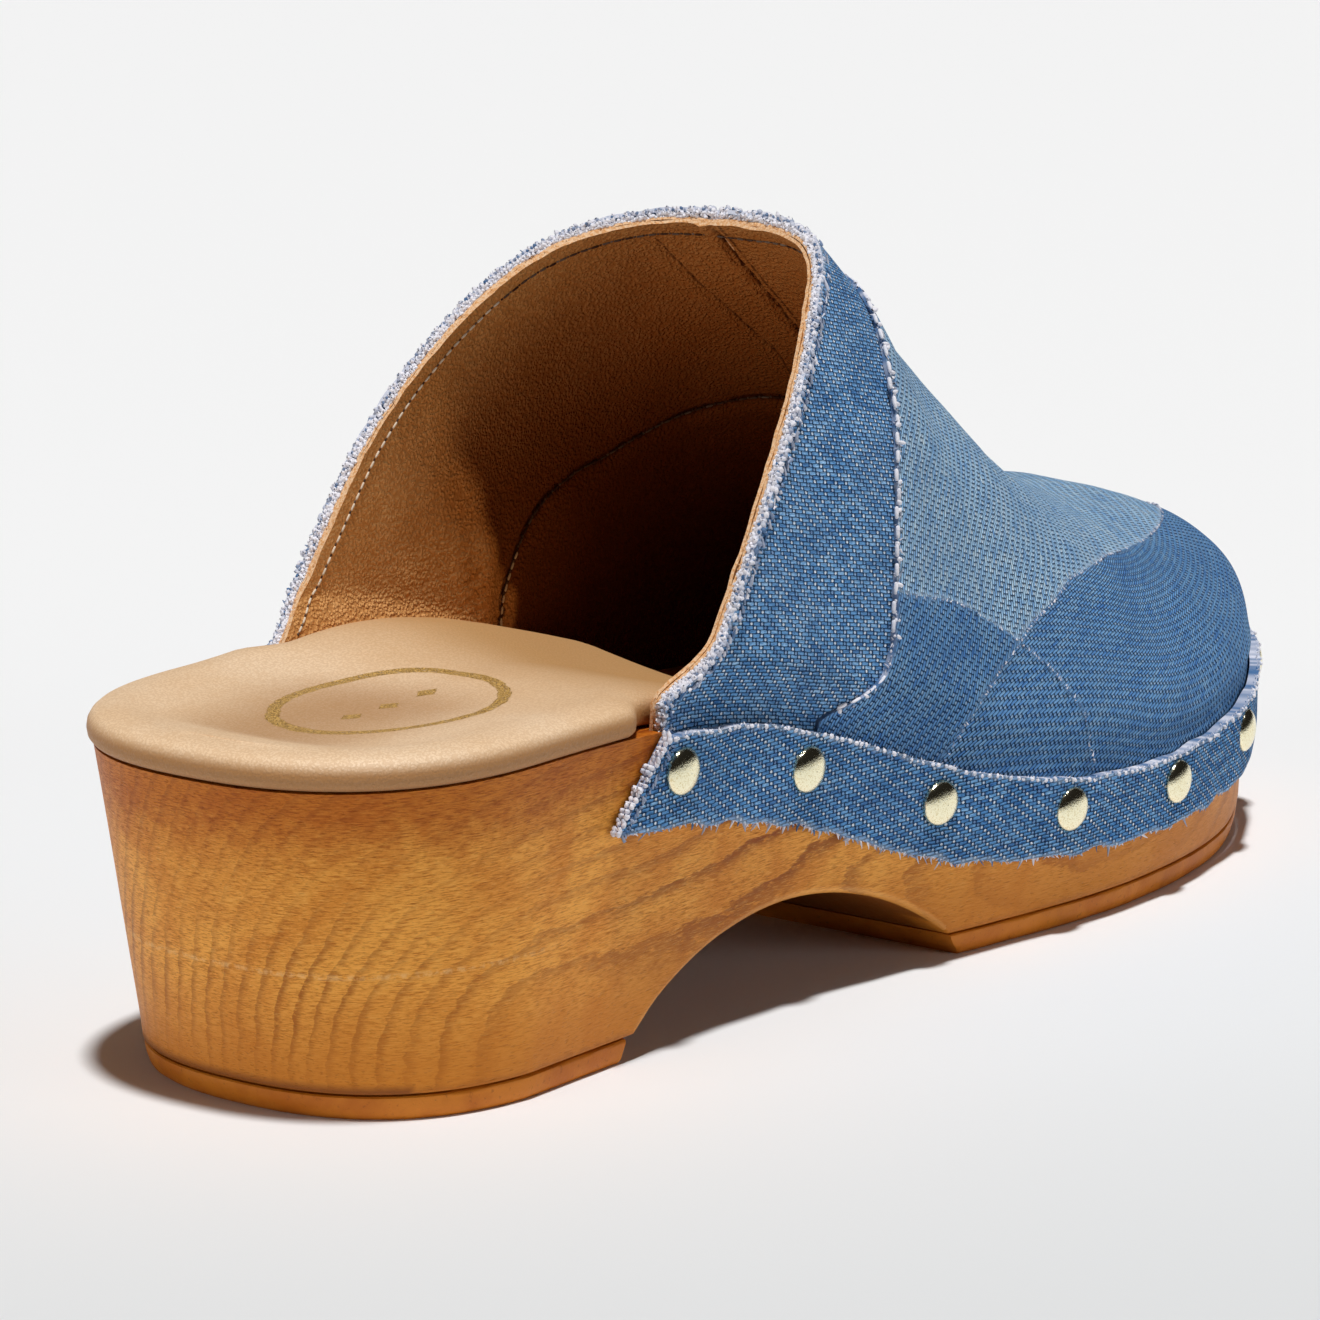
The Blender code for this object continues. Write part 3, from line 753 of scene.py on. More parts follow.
def make_twill():
    tree, n, given, out = effect_group(
        "twill_weave", {"Place": None, "Warp apart": 0.60, "Weft apart": 0.86, "Looseness": 0.30},
        ["Height", "Weft", "Hole shade", "Fibres", "Float tone", "Yarn tone"])
    x, y, _ = n.split(given["Place"])
    loose = n.add("TexNoise", given["Place"], None, 0.8, 2.0).outputs["Color"]
    shake_x, shake_y, _ = n.split(n.vector("SUBTRACT", loose, (0.5, 0.5, 0.5)))
    x = n.plus(x, n.times(shake_x, given["Looseness"]))
    y = n.plus(y, n.times(shake_y, given["Looseness"]))
    a = n.over(x, given["Warp apart"])
    b = n.over(y, given["Weft apart"])
    warp = n.math("FLOOR", a)
    across = n.minus(n.math("FRACT", a), 0.5)
    step = n.over(n.plus(b, warp), REPEAT)
    turn = n.math("FRACT", step)
    shows = n.math("LESS_THAN", turn, 1 / REPEAT)
    weft_along = n.minus(n.times(turn, REPEAT), 0.5)
    float_along = n.minus(n.times(turn, REPEAT), 2.0)
    across_2 = n.times(n.times(across, across), 4.0)
    weft_2 = n.times(n.times(weft_along, weft_along), 4.0)
    float_2 = n.times(float_along, float_along)
    float_4 = n.times(float_2, float_2)
    weft_bead = n.minus(1.0, n.plus(n.times(across_2, WEFT_ROUND[0]), n.times(weft_2, WEFT_ROUND[1])))
    weft_bead = n.times(n.math("MAXIMUM", weft_bead, 0.0), shows)
    floats = n.minus(1.0, shows)
    float_bead = n.times(n.minus(1.0, across_2), n.minus(1.0, float_4))
    float_bead = n.times(n.math("MAXIMUM", float_bead, 0.0), floats)
    n.give(out["Height"], n.math("MAXIMUM", n.times(weft_bead, WEFT_LOW), float_bead))
    n.give(out["Weft"], n.fit(weft_bead, 0.15, 0.6))
    # mask for painted shade in the holes beside the weft and in the gaps between floats
    beside = n.times(n.fit(weft_bead, 0.30, 0.0), shows)
    n.give(out["Hole shade"], n.math("MAXIMUM", beside, n.times(n.fit(float_bead, 0.52, 0.05), floats)))
    n.give(out["Float tone"], n.random(n.join(warp, n.math("FLOOR", step), shows)))
    n.give(out["Yarn tone"], n.noise(n.join(n.times(warp, 7.3), n.times(y, 0.12)), 1.0, 1.0))
    streak = n.noise(n.join(n.times(x, 5.5), n.times(y, 0.9)), 1.0, 3.0, 0.6)
    n.give(out["Fibres"], n.fit(streak, 0.32, 0.68))
    return tree


twill_weave = make_twill()


# %% [markdown]
# ### Leather grain, clouds and wear
# Leather's grain is a net of furrows between small cells, finer on the smooth insole than on the
# lining, with soft wrinkles of a few cells each. Clouds are slow changes of tone. Wear follows an
# edge, but breaks up in patches as rubbing does; the same mask also lays painted shade along an edge,
# under the insole's overhang and at the foot of its rim.

# %% Grain, clouds and wear groups
def make_grain():
    tree, n, given, out = effect_group(
        "leather_grain", {"Place": None, "Cell": 0.7, "Furrows": 0.5, "Wrinkles": 0.5}, ["Height", "Pores"])
    size = n.over(1.0, given["Cell"])
    cells = n.add("TexVoronoi", feature="SMOOTH_F1")
    loose = n.add("TexNoise", given["Place"], None, size, 2.0).outputs["Color"]
    bent = n.add("VectorMath", loose, None, None, given["Cell"], operation="SCALE").outputs[0]
    n.give(cells.inputs["Vector"], n.vector("ADD", given["Place"], bent))
    n.give(cells.inputs["Scale"], size)
    n.give(cells.inputs["Smoothness"], 0.25)
    furrow = n.fit(cells.outputs["Distance"], 0.75, 0.15)
    drawn = n.vector("MULTIPLY", given["Place"], (0.6, 1.0, 1.5))
    wrinkle = n.noise(drawn, n.times(size, 0.34), 4.0, 0.6, 0.6)
    height = n.plus(n.times(furrow, given["Furrows"]), n.times(wrinkle, given["Wrinkles"]))
    n.give(out["Height"], height)
    pores = n.add("TexVoronoi", feature="F1")
    n.give(pores.inputs["Vector"], given["Place"])
    n.give(pores.inputs["Scale"], n.times(size, 0.6))
    n.give(out["Pores"], n.fit(pores.outputs["Distance"], 0.12, 0.05))
    return tree


def make_clouds():
    tree, n, given, out = effect_group("clouds", {"Place": None, "Size": 12.0}, ["Tone"])
    wide = n.noise(given["Place"], n.over(1.0, given["Size"]), 4.0, 0.55, 0.3)
    n.give(out["Tone"], n.fit(wide, 0.3, 0.7))
    return tree


def make_wear_and_shade():
    tree, n, given, out = effect_group(
        "edge_wear_and_shade", {"Place": None, "Distance": 0.0, "Width": 1.0, "Breakup": 0.5}, ["Mask"])
    near = n.minus(1.0, n.over(given["Distance"], given["Width"]))
    patch = n.times(n.minus(n.noise(given["Place"], 0.45, 5.0, 0.65), 0.5), given["Breakup"])
    n.give(out["Mask"], n.fit(n.plus(near, n.times(patch, 3.0)), 0.0, 0.8))
    return tree


leather_grain = make_grain()
clouds = make_clouds()
edge_wear_and_shade = make_wear_and_shade()


# %% [markdown]
# ### Growth rings
# A log's rings run about its pith. The block was sawn along the log, and the pith lay a thumb's width
# outside the shoe's lateral side, low down: the rings stand nearly upright across the heel's back,
# bend over its corner and run on level along the side. Each ring starts pale and ends in a narrow
# dark line that breaks up into pores. Short level fibres and sanding marks run round the block.

# %% Rings group
WANDER = 9.0                # how far the rings stray from circles, slowly and finely
FINE_WANDER = 1.6
LATE_STARTS = (0.45, 0.90)  # share of a ring where its dark wood starts and is full
LATE_ENDS = (1.0, 0.93)


def make_rings():
    tree, n, given, out = effect_group(
        "growth_rings", {"Place": None, "Ring": 2.9, "Pith x": 60.0, "Pith z": 3.0, "Lean": 0.08},
        ["Late wood", "Fibres", "Pores", "Figure"])
    x, y, z = n.split(given["Place"])
    wander = n.stretched_noise(given["Place"], (0.020, 0.012, 0.024), 3.0, 0.5)
    wander = n.times(n.minus(wander, 0.5), WANDER)
    fine = n.stretched_noise(given["Place"], (0.25, 0.16, 0.5), 4.0, 0.65)
    fine = n.times(n.minus(fine, 0.5), FINE_WANDER)
    dx = n.minus(x, given["Pith x"])
    dz = n.minus(n.minus(z, n.times(y, given["Lean"])), given["Pith z"])
    far = n.math("SQRT", n.plus(n.times(dx, dx), n.times(dz, dz)))
    ring = n.over(n.plus(far, n.plus(wander, fine)), given["Ring"])
    within = n.math("FRACT", ring)
    late = n.times(n.fit(within, *LATE_STARTS), n.fit(within, *LATE_ENDS))
    strength = n.plus(0.55, n.times(n.random(n.join(n.math("FLOOR", ring), 3.0)), 0.45))
    strength = n.times(strength, n.fit(n.noise(given["Place"], 0.045, 2.0), 0.40, 0.56, 0.60, 1.0))
    broken = n.stretched_noise(given["Place"], (0.5, 0.35, 1.3), 4.0, 0.7)
    late = n.times(n.times(n.math("POWER", late, 1.3), strength), n.fit(broken, 0.28, 0.50))
    high_on_heel = n.times(n.fit(y, 48.0, 18.0), n.fit(z, 14.0, 36.0))
    late = n.times(late, n.minus(1.0, n.times(high_on_heel, 0.70)))
    n.give(out["Late wood"], late)
    fibre = n.stretched_noise(given["Place"], (0.7, 0.5, 5.2), 4.0, 0.7)
    n.give(out["Fibres"], fibre)
    pores = n.stretched_noise(given["Place"], (1.2, 0.7, 4.2), 1.0, 0.5)
    n.give(out["Pores"], n.fit(pores, 0.60, 0.72))
    figure = n.stretched_noise(given["Place"], (0.04, 0.05, 0.05), 3.0, 0.55, 1.2)
    n.give(out["Figure"], n.fit(figure, 0.3, 0.7))
    return tree


growth_rings = make_rings()


# %% [markdown]
# ## Finishes
# Colours are those of the materials in plain daylight, except where light or shade is painted into them,
# which is said at each place. The wood is honey-coloured with a thin satin oil: dark late wood, fine
# fibres, a zone under the insole's overhang that is darker partly as a stain and partly as painted
# shade of the overhang, painted shade on the underside under the arch, and a rubbed, pale corner along
# the arch.

# %% Wood
def new_finish(name):
    made = bpy.data.materials.new(name)
    made.use_nodes = True
    return made, Nodes(made.node_tree), made.node_tree.nodes["Principled BSDF"].inputs


def wear_and_shade(n, place, distance, width, breakup):
    """Mask along an edge, for wear and for painted shade; distance names what the mesh keeps."""
    return n.effect(edge_wear_and_shade, Place=place, Distance=n.kept(distance), Width=width, Breakup=breakup)["Mask"]


def cloudy(n, place, size):
    """Slow changes of tone, from 0 to 1."""
    return n.effect(clouds, Place=place, Size=size)["Tone"]


SCUFF_HEIGHT = 21.0
LIGHT_HONEY = (0.93, 0.412, 0.066)
DEEP_HONEY = (0.72, 0.252, 0.026)
LATE_WOOD = (0.20, 0.030, 0.001)
DARK_FIBRE = (0.42, 0.110, 0.006)
PALE_FIBRE = (1.0, 0.56, 0.14)
LOW_DOWN = (0.58, 0.190, 0.014)
PORE_BROWN = (0.30, 0.090, 0.006)
STAIN_AND_SHADE_TINT = (0.66, 0.44, 0.20)
JOINT_DIRT = (0.36, 0.105, 0.008)
RUBBED_WOOD = (0.95, 0.56, 0.20)
SCUFFED_WOOD = (0.96, 0.62, 0.27)
UNDERSIDE_SHADE_WOOD = (0.26, 0.075, 0.008)


def make_wood():
    made, n, shader = new_finish("oiled_wood")
    place = n.shoe_place()
    rings = n.effect(growth_rings, Place=place)
    x, y, z = n.split(place)
    tone = n.mix(rings["Figure"], LIGHT_HONEY, DEEP_HONEY)
    tone = n.mix(rings["Late wood"], tone, LATE_WOOD)
    tone = n.mix(n.fit(rings["Fibres"], 0.45, 0.70, 0.0, 0.85), tone, DARK_FIBRE)
    tone = n.mix(n.fit(rings["Fibres"], 0.50, 0.2, 0.0, 0.60), tone, PALE_FIBRE)
    tone = n.mix(n.fit(z, 24.0, 3.0, 0.0, 0.85), tone, LOW_DOWN)
    tone = n.mix(n.times(rings["Pores"], 0.26), tone, PORE_BROWN)
    # darker zone under the insole's overhang: partly a stain, partly painted shade of the overhang
    stain_and_shade = wear_and_shade(n, place, "below_top", 13.0, 0.35)
    tone = n.mix(n.times(stain_and_shade, 0.90), tone, STAIN_AND_SHADE_TINT, blend="MULTIPLY")
    joint = wear_and_shade(n, place, "above_joint", 1.3, 0.5)
    tone = n.mix(n.times(joint, 0.55), tone, JOINT_DIRT)
    rubbed = wear_and_shade(n, place, "above_arch", 0.8, 0.3)
    tone = n.mix(n.times(rubbed, 0.22), tone, RUBBED_WOOD)
    sway = n.times(n.noise(n.join(n.times(x, 0.03), 0.0, 0.0), 1.0), 2.0)
    off = n.math("ABSOLUTE", n.minus(z, n.plus(sway, SCUFF_HEIGHT)))
    broken = n.fit(n.noise(place, 0.9, 4.0, 0.7), 0.42, 0.62)
    behind = n.times(n.fit(y, 40.0, 15.0), broken)
    scuff = n.times(n.fit(off, 0.65, 0.1), behind)
    tone = n.mix(n.times(scuff, 0.42), tone, SCUFFED_WOOD)
    # painted shade on the wood's underside, seen under the arch, with some unsanded, dirty wood
    tone = n.mix(n.kept("underneath_shade"), tone, UNDERSIDE_SHADE_WOOD)
    roughness = n.fit(rings["Fibres"], 0.2, 0.8, 0.40, 0.55)
    relief = n.minus(n.times(rings["Fibres"], 0.7), n.times(rings["Pores"], 0.8))
    relief = n.minus(relief, n.times(rings["Late wood"], 0.5))
    n.coat(shader, tone, roughness, 0.22, n.bump(relief, 0.05))
    return made


wood_finish = make_wood()


# %% [markdown]
# ### Rubber, insole leather, lining and cut leather
# The rubber is a little mottled and dusty at the floor. The insole leather is pale, smooth and evenly
# dyed, with painted shade where it runs in under the upper; its rolled rim is handled more and looks
# browner, with small dark pores and painted shade in the gap at its foot. The lining is softer, with a
# pebbled, wrinkled grain, and carries painted light low on its medial side, a painted shadow beyond
# that and painted shade deep inside the upper. Cut edges of leather show the raw, orange-tan fibres.

# %% Rubber and leathers
RUBBER_TONES = ((0.62, 0.205, 0.018), (0.50, 0.140, 0.010))
RUBBER_DUST = (0.26, 0.07, 0.008)
INSOLE_TONES = ((0.95, 0.700, 0.465), (0.90, 0.630, 0.390))
UPPER_SHADE_ON_INSOLE = (0.58, 0.310, 0.105)
FURROW_BROWN = (0.52, 0.28, 0.11)
RIM_BROWN = (0.40, 0.180, 0.052)
RIM_PORE = (0.18, 0.08, 0.03)
RIM_GAP_SHADE = (0.28, 0.12, 0.045)
GOLD_LEAF = (0.88, 0.54, 0.16)
GOLD_SHADE = (0.44, 0.20, 0.035)
NUBUCK_TONES = ((0.76, 0.380, 0.130), (0.68, 0.315, 0.095))
NUBUCK_FURROW = (0.40, 0.145, 0.028)
SHADE_DEEP_INSIDE = (0.30, 0.080, 0.010)
PAINTED_LIGHT_TINT = (1.22, 1.30, 1.45)
PAINTED_SHADOW_TINT = (0.34, 0.23, 0.15)
GROOVE_BROWN = (0.06, 0.011, 0.001)
RUBBED_NUBUCK = (0.66, 0.34, 0.12)
RAW_FIBRE = (0.90, 0.60, 0.36)
RAW_SHADE = (0.72, 0.34, 0.12)


def make_rubber():
    made, n, shader = new_finish("tread_rubber")
    place = n.shoe_place()
    tone = n.mix(cloudy(n, place, 6.0), *RUBBER_TONES)
    specks = n.fit(n.noise(place, 1.2, 3.0, 0.6), 0.60, 0.72, 0.0, 0.5)
    tone = n.mix(specks, tone, RUBBER_DUST)
    n.coat(shader, tone, 0.5, 0.25, n.bump(n.noise(place, 2.2, 3.0, 0.6), 0.06))
    return made


def make_insole_leather():
    made, n, shader = new_finish("insole_leather")
    place = n.shoe_place()
    grain = n.effect(leather_grain, Place=place, Cell=0.42, Furrows=0.7, Wrinkles=0.5)
    tone = n.mix(cloudy(n, place, 16.0), *INSOLE_TONES)
    _, along, _ = n.split(place)
    # painted shade where the insole runs in under the upper
    tone = n.mix(n.fit(along, 32.0, 75.0, 0.0, 0.90), tone, UPPER_SHADE_ON_INSOLE)
    furrow = n.fit(grain["Height"], 0.72, 0.38, 0.0, 0.30)
    tone = n.mix(furrow, tone, FURROW_BROWN)
    rim = n.fit(n.kept("rim"), 4.3, 2.2)
    tone = n.mix(n.times(rim, 0.92), tone, RIM_BROWN)
    tone = n.mix(n.times(n.times(grain["Pores"], rim), 0.5), tone, RIM_PORE)
    # painted shade in the gap along the foot of the rim, over the wood
    low = wear_and_shade(n, place, "rim", 0.8, 0.3)
    tone = n.mix(n.times(low, 0.6), tone, RIM_GAP_SHADE)
    gold, speckle = foil_masks(n, place)
    tone = n.mix(gold, tone, n.mix(speckle, GOLD_LEAF, GOLD_SHADE))
    roughness = n.minus(n.fit(grain["Height"], 0.4, 1.0, 0.58, 0.44), n.times(gold, 0.15))
    dents = n.minus(grain["Height"], n.times(gold, n.fit(speckle, 0.0, 1.0, 1.0, 3.0)))
    n.give(shader["Metallic"], n.times(gold, 0.05))
    n.coat(shader, tone, roughness, 0.45, n.bump(dents, 0.07))
    return made


FOIL_CENTRE = (3.0, 30.5)
FOIL_HALF = (15.0, 19.0)
RING_WIDTH = (0.066, 0.050)     # share of the oval's half size at the line's outer and inner blur
LOZENGE_HALF = (1.7, 1.5)
LOZENGES_APART = 8.5
LOZENGES_TO = 0.72              # share of the oval's length that the row of lozenges takes


def foil_masks(n, place):
    """Where a small stamped oval with three lozenges shines on the heel seat, and its speckle."""
    x, y, _ = n.split(place)
    uneven = n.times(n.minus(n.noise(place, 0.35, 3.0, 0.6), 0.5), 0.9)
    from_x = n.plus(n.minus(x, FOIL_CENTRE[0]), uneven)
    from_y = n.plus(n.minus(y, FOIL_CENTRE[1]), uneven)
    across = n.over(from_x, FOIL_HALF[0])
    along = n.over(from_y, FOIL_HALF[1])
    inside = n.math("SQRT", n.plus(n.times(across, across), n.times(along, along)))
    ring = n.math("ABSOLUTE", n.minus(inside, 1.0))
    outline_mask = n.fit(ring, *RING_WIDTH)
    repeat = n.math("PINGPONG", from_y, LOZENGES_APART / 2)
    lozenge = n.plus(n.math("ABSOLUTE", from_x), n.times(repeat, 0.7))
    middle = n.math("LESS_THAN", n.math("ABSOLUTE", along), LOZENGES_TO)
    shapes = n.times(n.fit(lozenge, *LOZENGE_HALF), middle)
    foil = n.math("MAXIMUM", outline_mask, shapes)
    flake = n.noise(place, 4.2, 3.0, 0.75)
    kept = n.fit(n.noise(place, 2.2, 4.0, 0.7), 0.36, 0.46)
    return n.times(foil, kept), n.fit(flake, 0.47, 0.60)


LINING_GROOVES = (          # distance kept on the lining, half width of the dark groove, how dark
    ("curved_off", 0.75, 0.95),
    ("centre_off", 0.80, 0.95),
    ("second_off", 0.45, 0.65),
)
CENTRE_SEAMS_APART = 2.6
INSIDE_SHADE_FROM = (88.0, 135.0)     # painted shade deepens the lining's colour along this part of the shoe, inside the upper


def make_nubuck():
    made, n, shader = new_finish("lining_nubuck")
    place = n.shoe_place()
    grain = n.effect(leather_grain, Place=place, Cell=0.62, Furrows=0.8, Wrinkles=1.0)
    tone = n.mix(cloudy(n, place, 9.0), *NUBUCK_TONES)
    tone = n.mix(n.fit(grain["Height"], 1.05, 0.55, 0.0, 0.50), tone, NUBUCK_FURROW)
    _, along, height = n.split(place)
    # painted shade deep inside the upper
    tone = n.mix(n.fit(along, *INSIDE_SHADE_FROM, 0.0, 0.75), tone, SHADE_DEEP_INSIDE)
    # painted shadow on the medial lining beyond the shadow's edge, the edge softer higher up
    softness = n.fit(height, 58.0, 98.0, 1.6, 6.5)
    painted_shadow = n.fit(n.over(n.kept("past_shadow_edge"), softness), -1.0, 1.0)
    painted_shadow = n.times(painted_shadow, n.fit(height, 106.0, 66.0))
    # painted light: the lining is made lighter low down, where the medial side is lit
    lit_near_foot = n.fit(height, 96.0, 60.0)
    tone = n.mix(lit_near_foot, tone, PAINTED_LIGHT_TINT, blend="MULTIPLY")
    tone = n.mix(painted_shadow, tone, PAINTED_SHADOW_TINT, blend="MULTIPLY")
    pits = n.fit(n.noise(place, 0.8, 2.0), 0.42, 0.54, 0.35, 1.0)
    for line, width, depth in LINING_GROOVES:
        off = n.kept(line)
        groove = n.fit(n.math("ABSOLUTE", off), width, width * 0.3, 0.0, depth)
        tone = n.mix(n.times(groove, pits), tone, GROOVE_BROWN)
    off = n.math("ABSOLUTE", n.plus(n.kept("centre_off"), CENTRE_SEAMS_APART))
    second_groove = n.fit(off, 0.6, 0.2, 0.0, 0.75)
    tone = n.mix(n.times(second_groove, pits), tone, GROOVE_BROWN)
    rubbed = wear_and_shade(n, place, "edge", 2.0, 0.5)
    tone = n.mix(n.times(rubbed, 0.25), tone, RUBBED_NUBUCK)
    n.coat(shader, tone, 0.8, 0.15, n.bump(grain["Height"], 0.30))
    return made


def make_cut_leather():
    made, n, shader = new_finish("cut_leather")
    place = n.shoe_place()
    fibre = n.noise(place, 2.2, 4.0, 0.7)
    tone = n.mix(n.fit(fibre, 0.42, 0.62), RAW_FIBRE, RAW_SHADE)
    n.coat(shader, tone, 0.9, normal=n.bump(fibre, 0.25))
    return made


rubber_finish = make_rubber()
insole_finish = make_insole_leather()
nubuck_finish = make_nubuck()
cut_finish = make_cut_leather()


# %% [markdown]
# ### Denim, yarn and brass
# All denim here comes from one weave, laid in different directions and washed to different depths.
# Near a raw edge the indigo is rubbed away. Loose yarn ends are white weft or blue warp, told apart by
# a value kept on each end. The tack heads are polished pale brass with fine speckles.

# %% Denim, yarn and brass
PALE_YARN = (0.86, 0.92, 1.00)
NAVY_GAP_SHADE = (0.004, 0.012, 0.040)
COLLAR_BLUES = ((0.042, 0.155, 0.410), (0.150, 0.385, 0.740), (0.42, 0.69, 1.00))
VAMP_BLUES = ((0.170, 0.390, 0.780), (0.440, 0.720, 1.00), (0.76, 0.92, 1.00))
BAND_BLUES = ((0.030, 0.132, 0.390), (0.115, 0.340, 0.700), (0.34, 0.63, 0.96))
WASHED_BLUE = (0.36, 0.52, 0.70)
WORN_BLUE = (0.46, 0.58, 0.74)
PATCH_TINT = (0.40, 0.56, 0.74)
SHADE_PLACE = (40.0, 7.0, 3.0)  # moves the second clouds away from the first
YARN_ENDS = ((0.90, 0.88, 0.93), (0.075, 0.170, 0.345))
YARN_GREY = (0.20, 0.30, 0.48)
# pale thread, and near black for thread painted in shade
LIT_AND_SHADED_THREAD = ((0.86, 0.74, 0.58), (0.05, 0.014, 0.004))
FIBRE_TONES = ((0.90, 0.60, 0.36), (0.50, 0.24, 0.09))
BRASS_TONES = ((1.0, 0.94, 0.68), (0.78, 0.66, 0.36))


def make_denim(name, place_of, blues, wash=0.15, deeper=None):
    """Denim of three blues; place_of gives flat cloth coordinates, deeper tells where a darker piece lies."""
    deep, middle, light = blues
    made, n, shader = new_finish(name)
    place = place_of(n)
    weave = n.effect(twill_weave, Place=place)
    tone = n.plus(n.times(weave["Float tone"], 0.35), n.times(weave["Fibres"], 0.45))
    tone = n.plus(tone, n.fit(weave["Yarn tone"], 0.3, 0.7, 0.0, 0.25))
    blue = n.mix(n.fit(tone, 0.15, 0.55), deep, middle)
    blue = n.mix(n.fit(tone, 0.55, 0.95), blue, light)
    blue = n.mix(n.times(cloudy(n, place, 13.0), wash), blue, WASHED_BLUE)
    bright = n.fit(weave["Float tone"], 0.05, 0.85, 0.15, 1.0)
    if deeper:
        bright = n.times(bright, n.fit(deeper(n), 0.0, 1.0, 0.55, 1.0))
    blue = n.mix(n.times(weave["Weft"], bright), blue, PALE_YARN)
    # painted shade: the weave's holes and the gaps between floats turn near-black navy
    blue = n.mix(n.times(weave["Hole shade"], 0.92), blue, NAVY_GAP_SHADE)
    shade = cloudy(n, n.vector("ADD", place, SHADE_PLACE), 9.0)
    blue = n.mix(n.times(shade, 0.2), blue, tuple(c * 0.5 for c in deep))
    blue = n.mix(n.times(wear_and_shade(n, place, "edge", 0.9, 0.8), 0.45), blue, WORN_BLUE)
    if deeper:
        blue = n.mix(deeper(n), blue, PATCH_TINT, blend="MULTIPLY")
    n.coat(shader, blue, 0.9, 0.12, n.bump(weave["Height"], 0.28))
    return made


def vamp_place(n):
    """The vamp's patches are cut in other directions than its upper part."""
    upper_part = n.flat("cloth")
    first = n.mix(n.math("GREATER_THAN", n.kept("patch"), 0.0), upper_part, n.flat("patch_cloth"))
    return n.mix(n.math("GREATER_THAN", n.kept("toe_patch"), 0.0), first, n.flat("toe_cloth"))


def make_yarn():
    made, n, shader = new_finish("cut_yarn")
    place = n.shoe_place()
    tone = n.mix(n.kept("shade"), *YARN_ENDS)
    tone = n.mix(n.fit(n.noise(place, 1.9, 3.0, 0.6), 0.52, 0.72, 0.0, 0.4), tone, YARN_GREY)
    n.coat(shader, tone, 0.95, 0.15)
    return made


def make_thread(name, light, dark):
    """Sewing thread or fibres; dark where the kept value shade is 1."""
    made, n, shader = new_finish(name)
    n.coat(shader, n.mix(n.kept("shade"), light, dark), 0.8)
    return made


def make_brass():
    made, n, shader = new_finish("polished_brass")
    place = n.shoe_place()
    specks = n.fit(n.noise(place, 4.5, 2.0, 0.6), 0.5, 0.66)
    shader["Metallic"].default_value = 1.0
    n.coat(shader, n.mix(specks, *BRASS_TONES), 0.13, normal=n.bump(n.noise(place, 3.2, 3.0, 0.7), 0.045))
    return made


def plain_place(n):
    return n.flat("cloth")


def on_patches(n):
    """1 on the vamp's patches, which are cut from deeper blue cloth than its upper part."""
    return n.math("GREATER_THAN", n.math("MAXIMUM", n.kept("patch"), n.kept("toe_patch")), 0.0)


collar_finish = make_denim("collar_denim", plain_place, COLLAR_BLUES)
vamp_finish = make_denim("vamp_denim", vamp_place, VAMP_BLUES, wash=0.2, deeper=on_patches)
band_finish = make_denim("band_denim", plain_place, BAND_BLUES, wash=0.1)
yarn_finish = make_yarn()
thread_finish = make_thread("sewing_thread", *LIT_AND_SHADED_THREAD)
fibre_finish = make_thread("leather_fibres", *FIBRE_TONES)
brass_finish = make_brass()

# %% [markdown]
# ## Wooden sole
# A clog sole is sawn and spindle-moulded from one block, then sanded by hand. The block is drawn in
# cross-sections from the heel's back to the toe. Each goes round the underside, a softened lower
# arris, the leaning side, the rebate for the upper, and the top. The arris is wider along the arch,
# where hands and sandpaper run over the corner.

# %% Stations and sections of the sole
RUBBER = 4.0
HEEL_BREAST = 49.9
ARCH_FRONT = 122.6
ARCH_RISE = 12.4
SPRING_START = 198.0
SPRING_RADIUS = 130.0
ARRIS = 0.5
ARCH_ARRIS = 1.5
ARCH_ARRIS_RISE = 4.0
REBATE_DEPTH = 2.9
MARGIN_INSET = 1.2
SANDING = 0.16              # unevenness that hand sanding leaves
FAR_KEPT = 9.0              # kept on the mesh where no joint, arris or raw edge is near by
RUB_RISE = 0.7              # how high above the arch's underside the rubbed line runs


def underside(y):
    """Height of the wood's underside: heel, arch, forefoot and toe spring."""
    half_span = (ARCH_FRONT - HEEL_BREAST) / 2
    radius = (half_span ** 2 + ARCH_RISE ** 2) / (2 * ARCH_RISE)
    off = np.minimum(np.abs(y - HEEL_BREAST - half_span), half_span)
    arch = ARCH_RISE - radius + np.sqrt(radius ** 2 - off ** 2)
    spring = np.maximum(0.0, y - SPRING_START) ** 2 / (2 * SPRING_RADIUS)
    return RUBBER + np.maximum(arch, 0.0) + spring


def margin_low(y):
    """Lower edge of the upper's margin, behind the band."""
    return smooth(SIDE, "band_low", y) + MARGIN_INSET


def stations(start, end, step, extra=()):
    """Places along the shoe: even in the middle, ever closer in the round ends."""
    count = int(44 * DETAIL)
    turn = math.pi / 2 * (np.arange(count + 1) / count) ** 1.3
    back = HEEL_BACK + HEEL_CAP_DEPTH * (1 - np.cos(turn) ** (2 / HEEL_CAP_POWER))
    front = TOE_CAP_START + (TOE_TIP - TOE_CAP_START) * np.cos(turn) ** (2 / TOE_CAP_POWER)
    middle = np.arange(HEEL_BACK + HEEL_CAP_DEPTH, TOE_CAP_START, step / DETAIL)
    places = np.concatenate([back, middle, front, [HEEL_BACK, TOE_TIP, start, end], extra])
    places = np.unique(places.round(3))
    return places[(places >= start) & (places <= end)]


def both_sides(half):
    """Closed sections from a function of the side: lateral points upward, medial ones downward."""
    return np.concatenate([half(1), half(-1)[:, ::-1]], 1)


def inward(edge_points, shares):
    """Rows of points from the middle of the shoe out to a row of edge points."""
    centre = smooth(PLAN, "centre", edge_points[:, 1])
    rows = []
    for share in shares:
        moved = edge_points.copy()
        moved[:, 0] = centre + (edge_points[:, 0] - centre) * share
        rows.append(moved)
    return rows


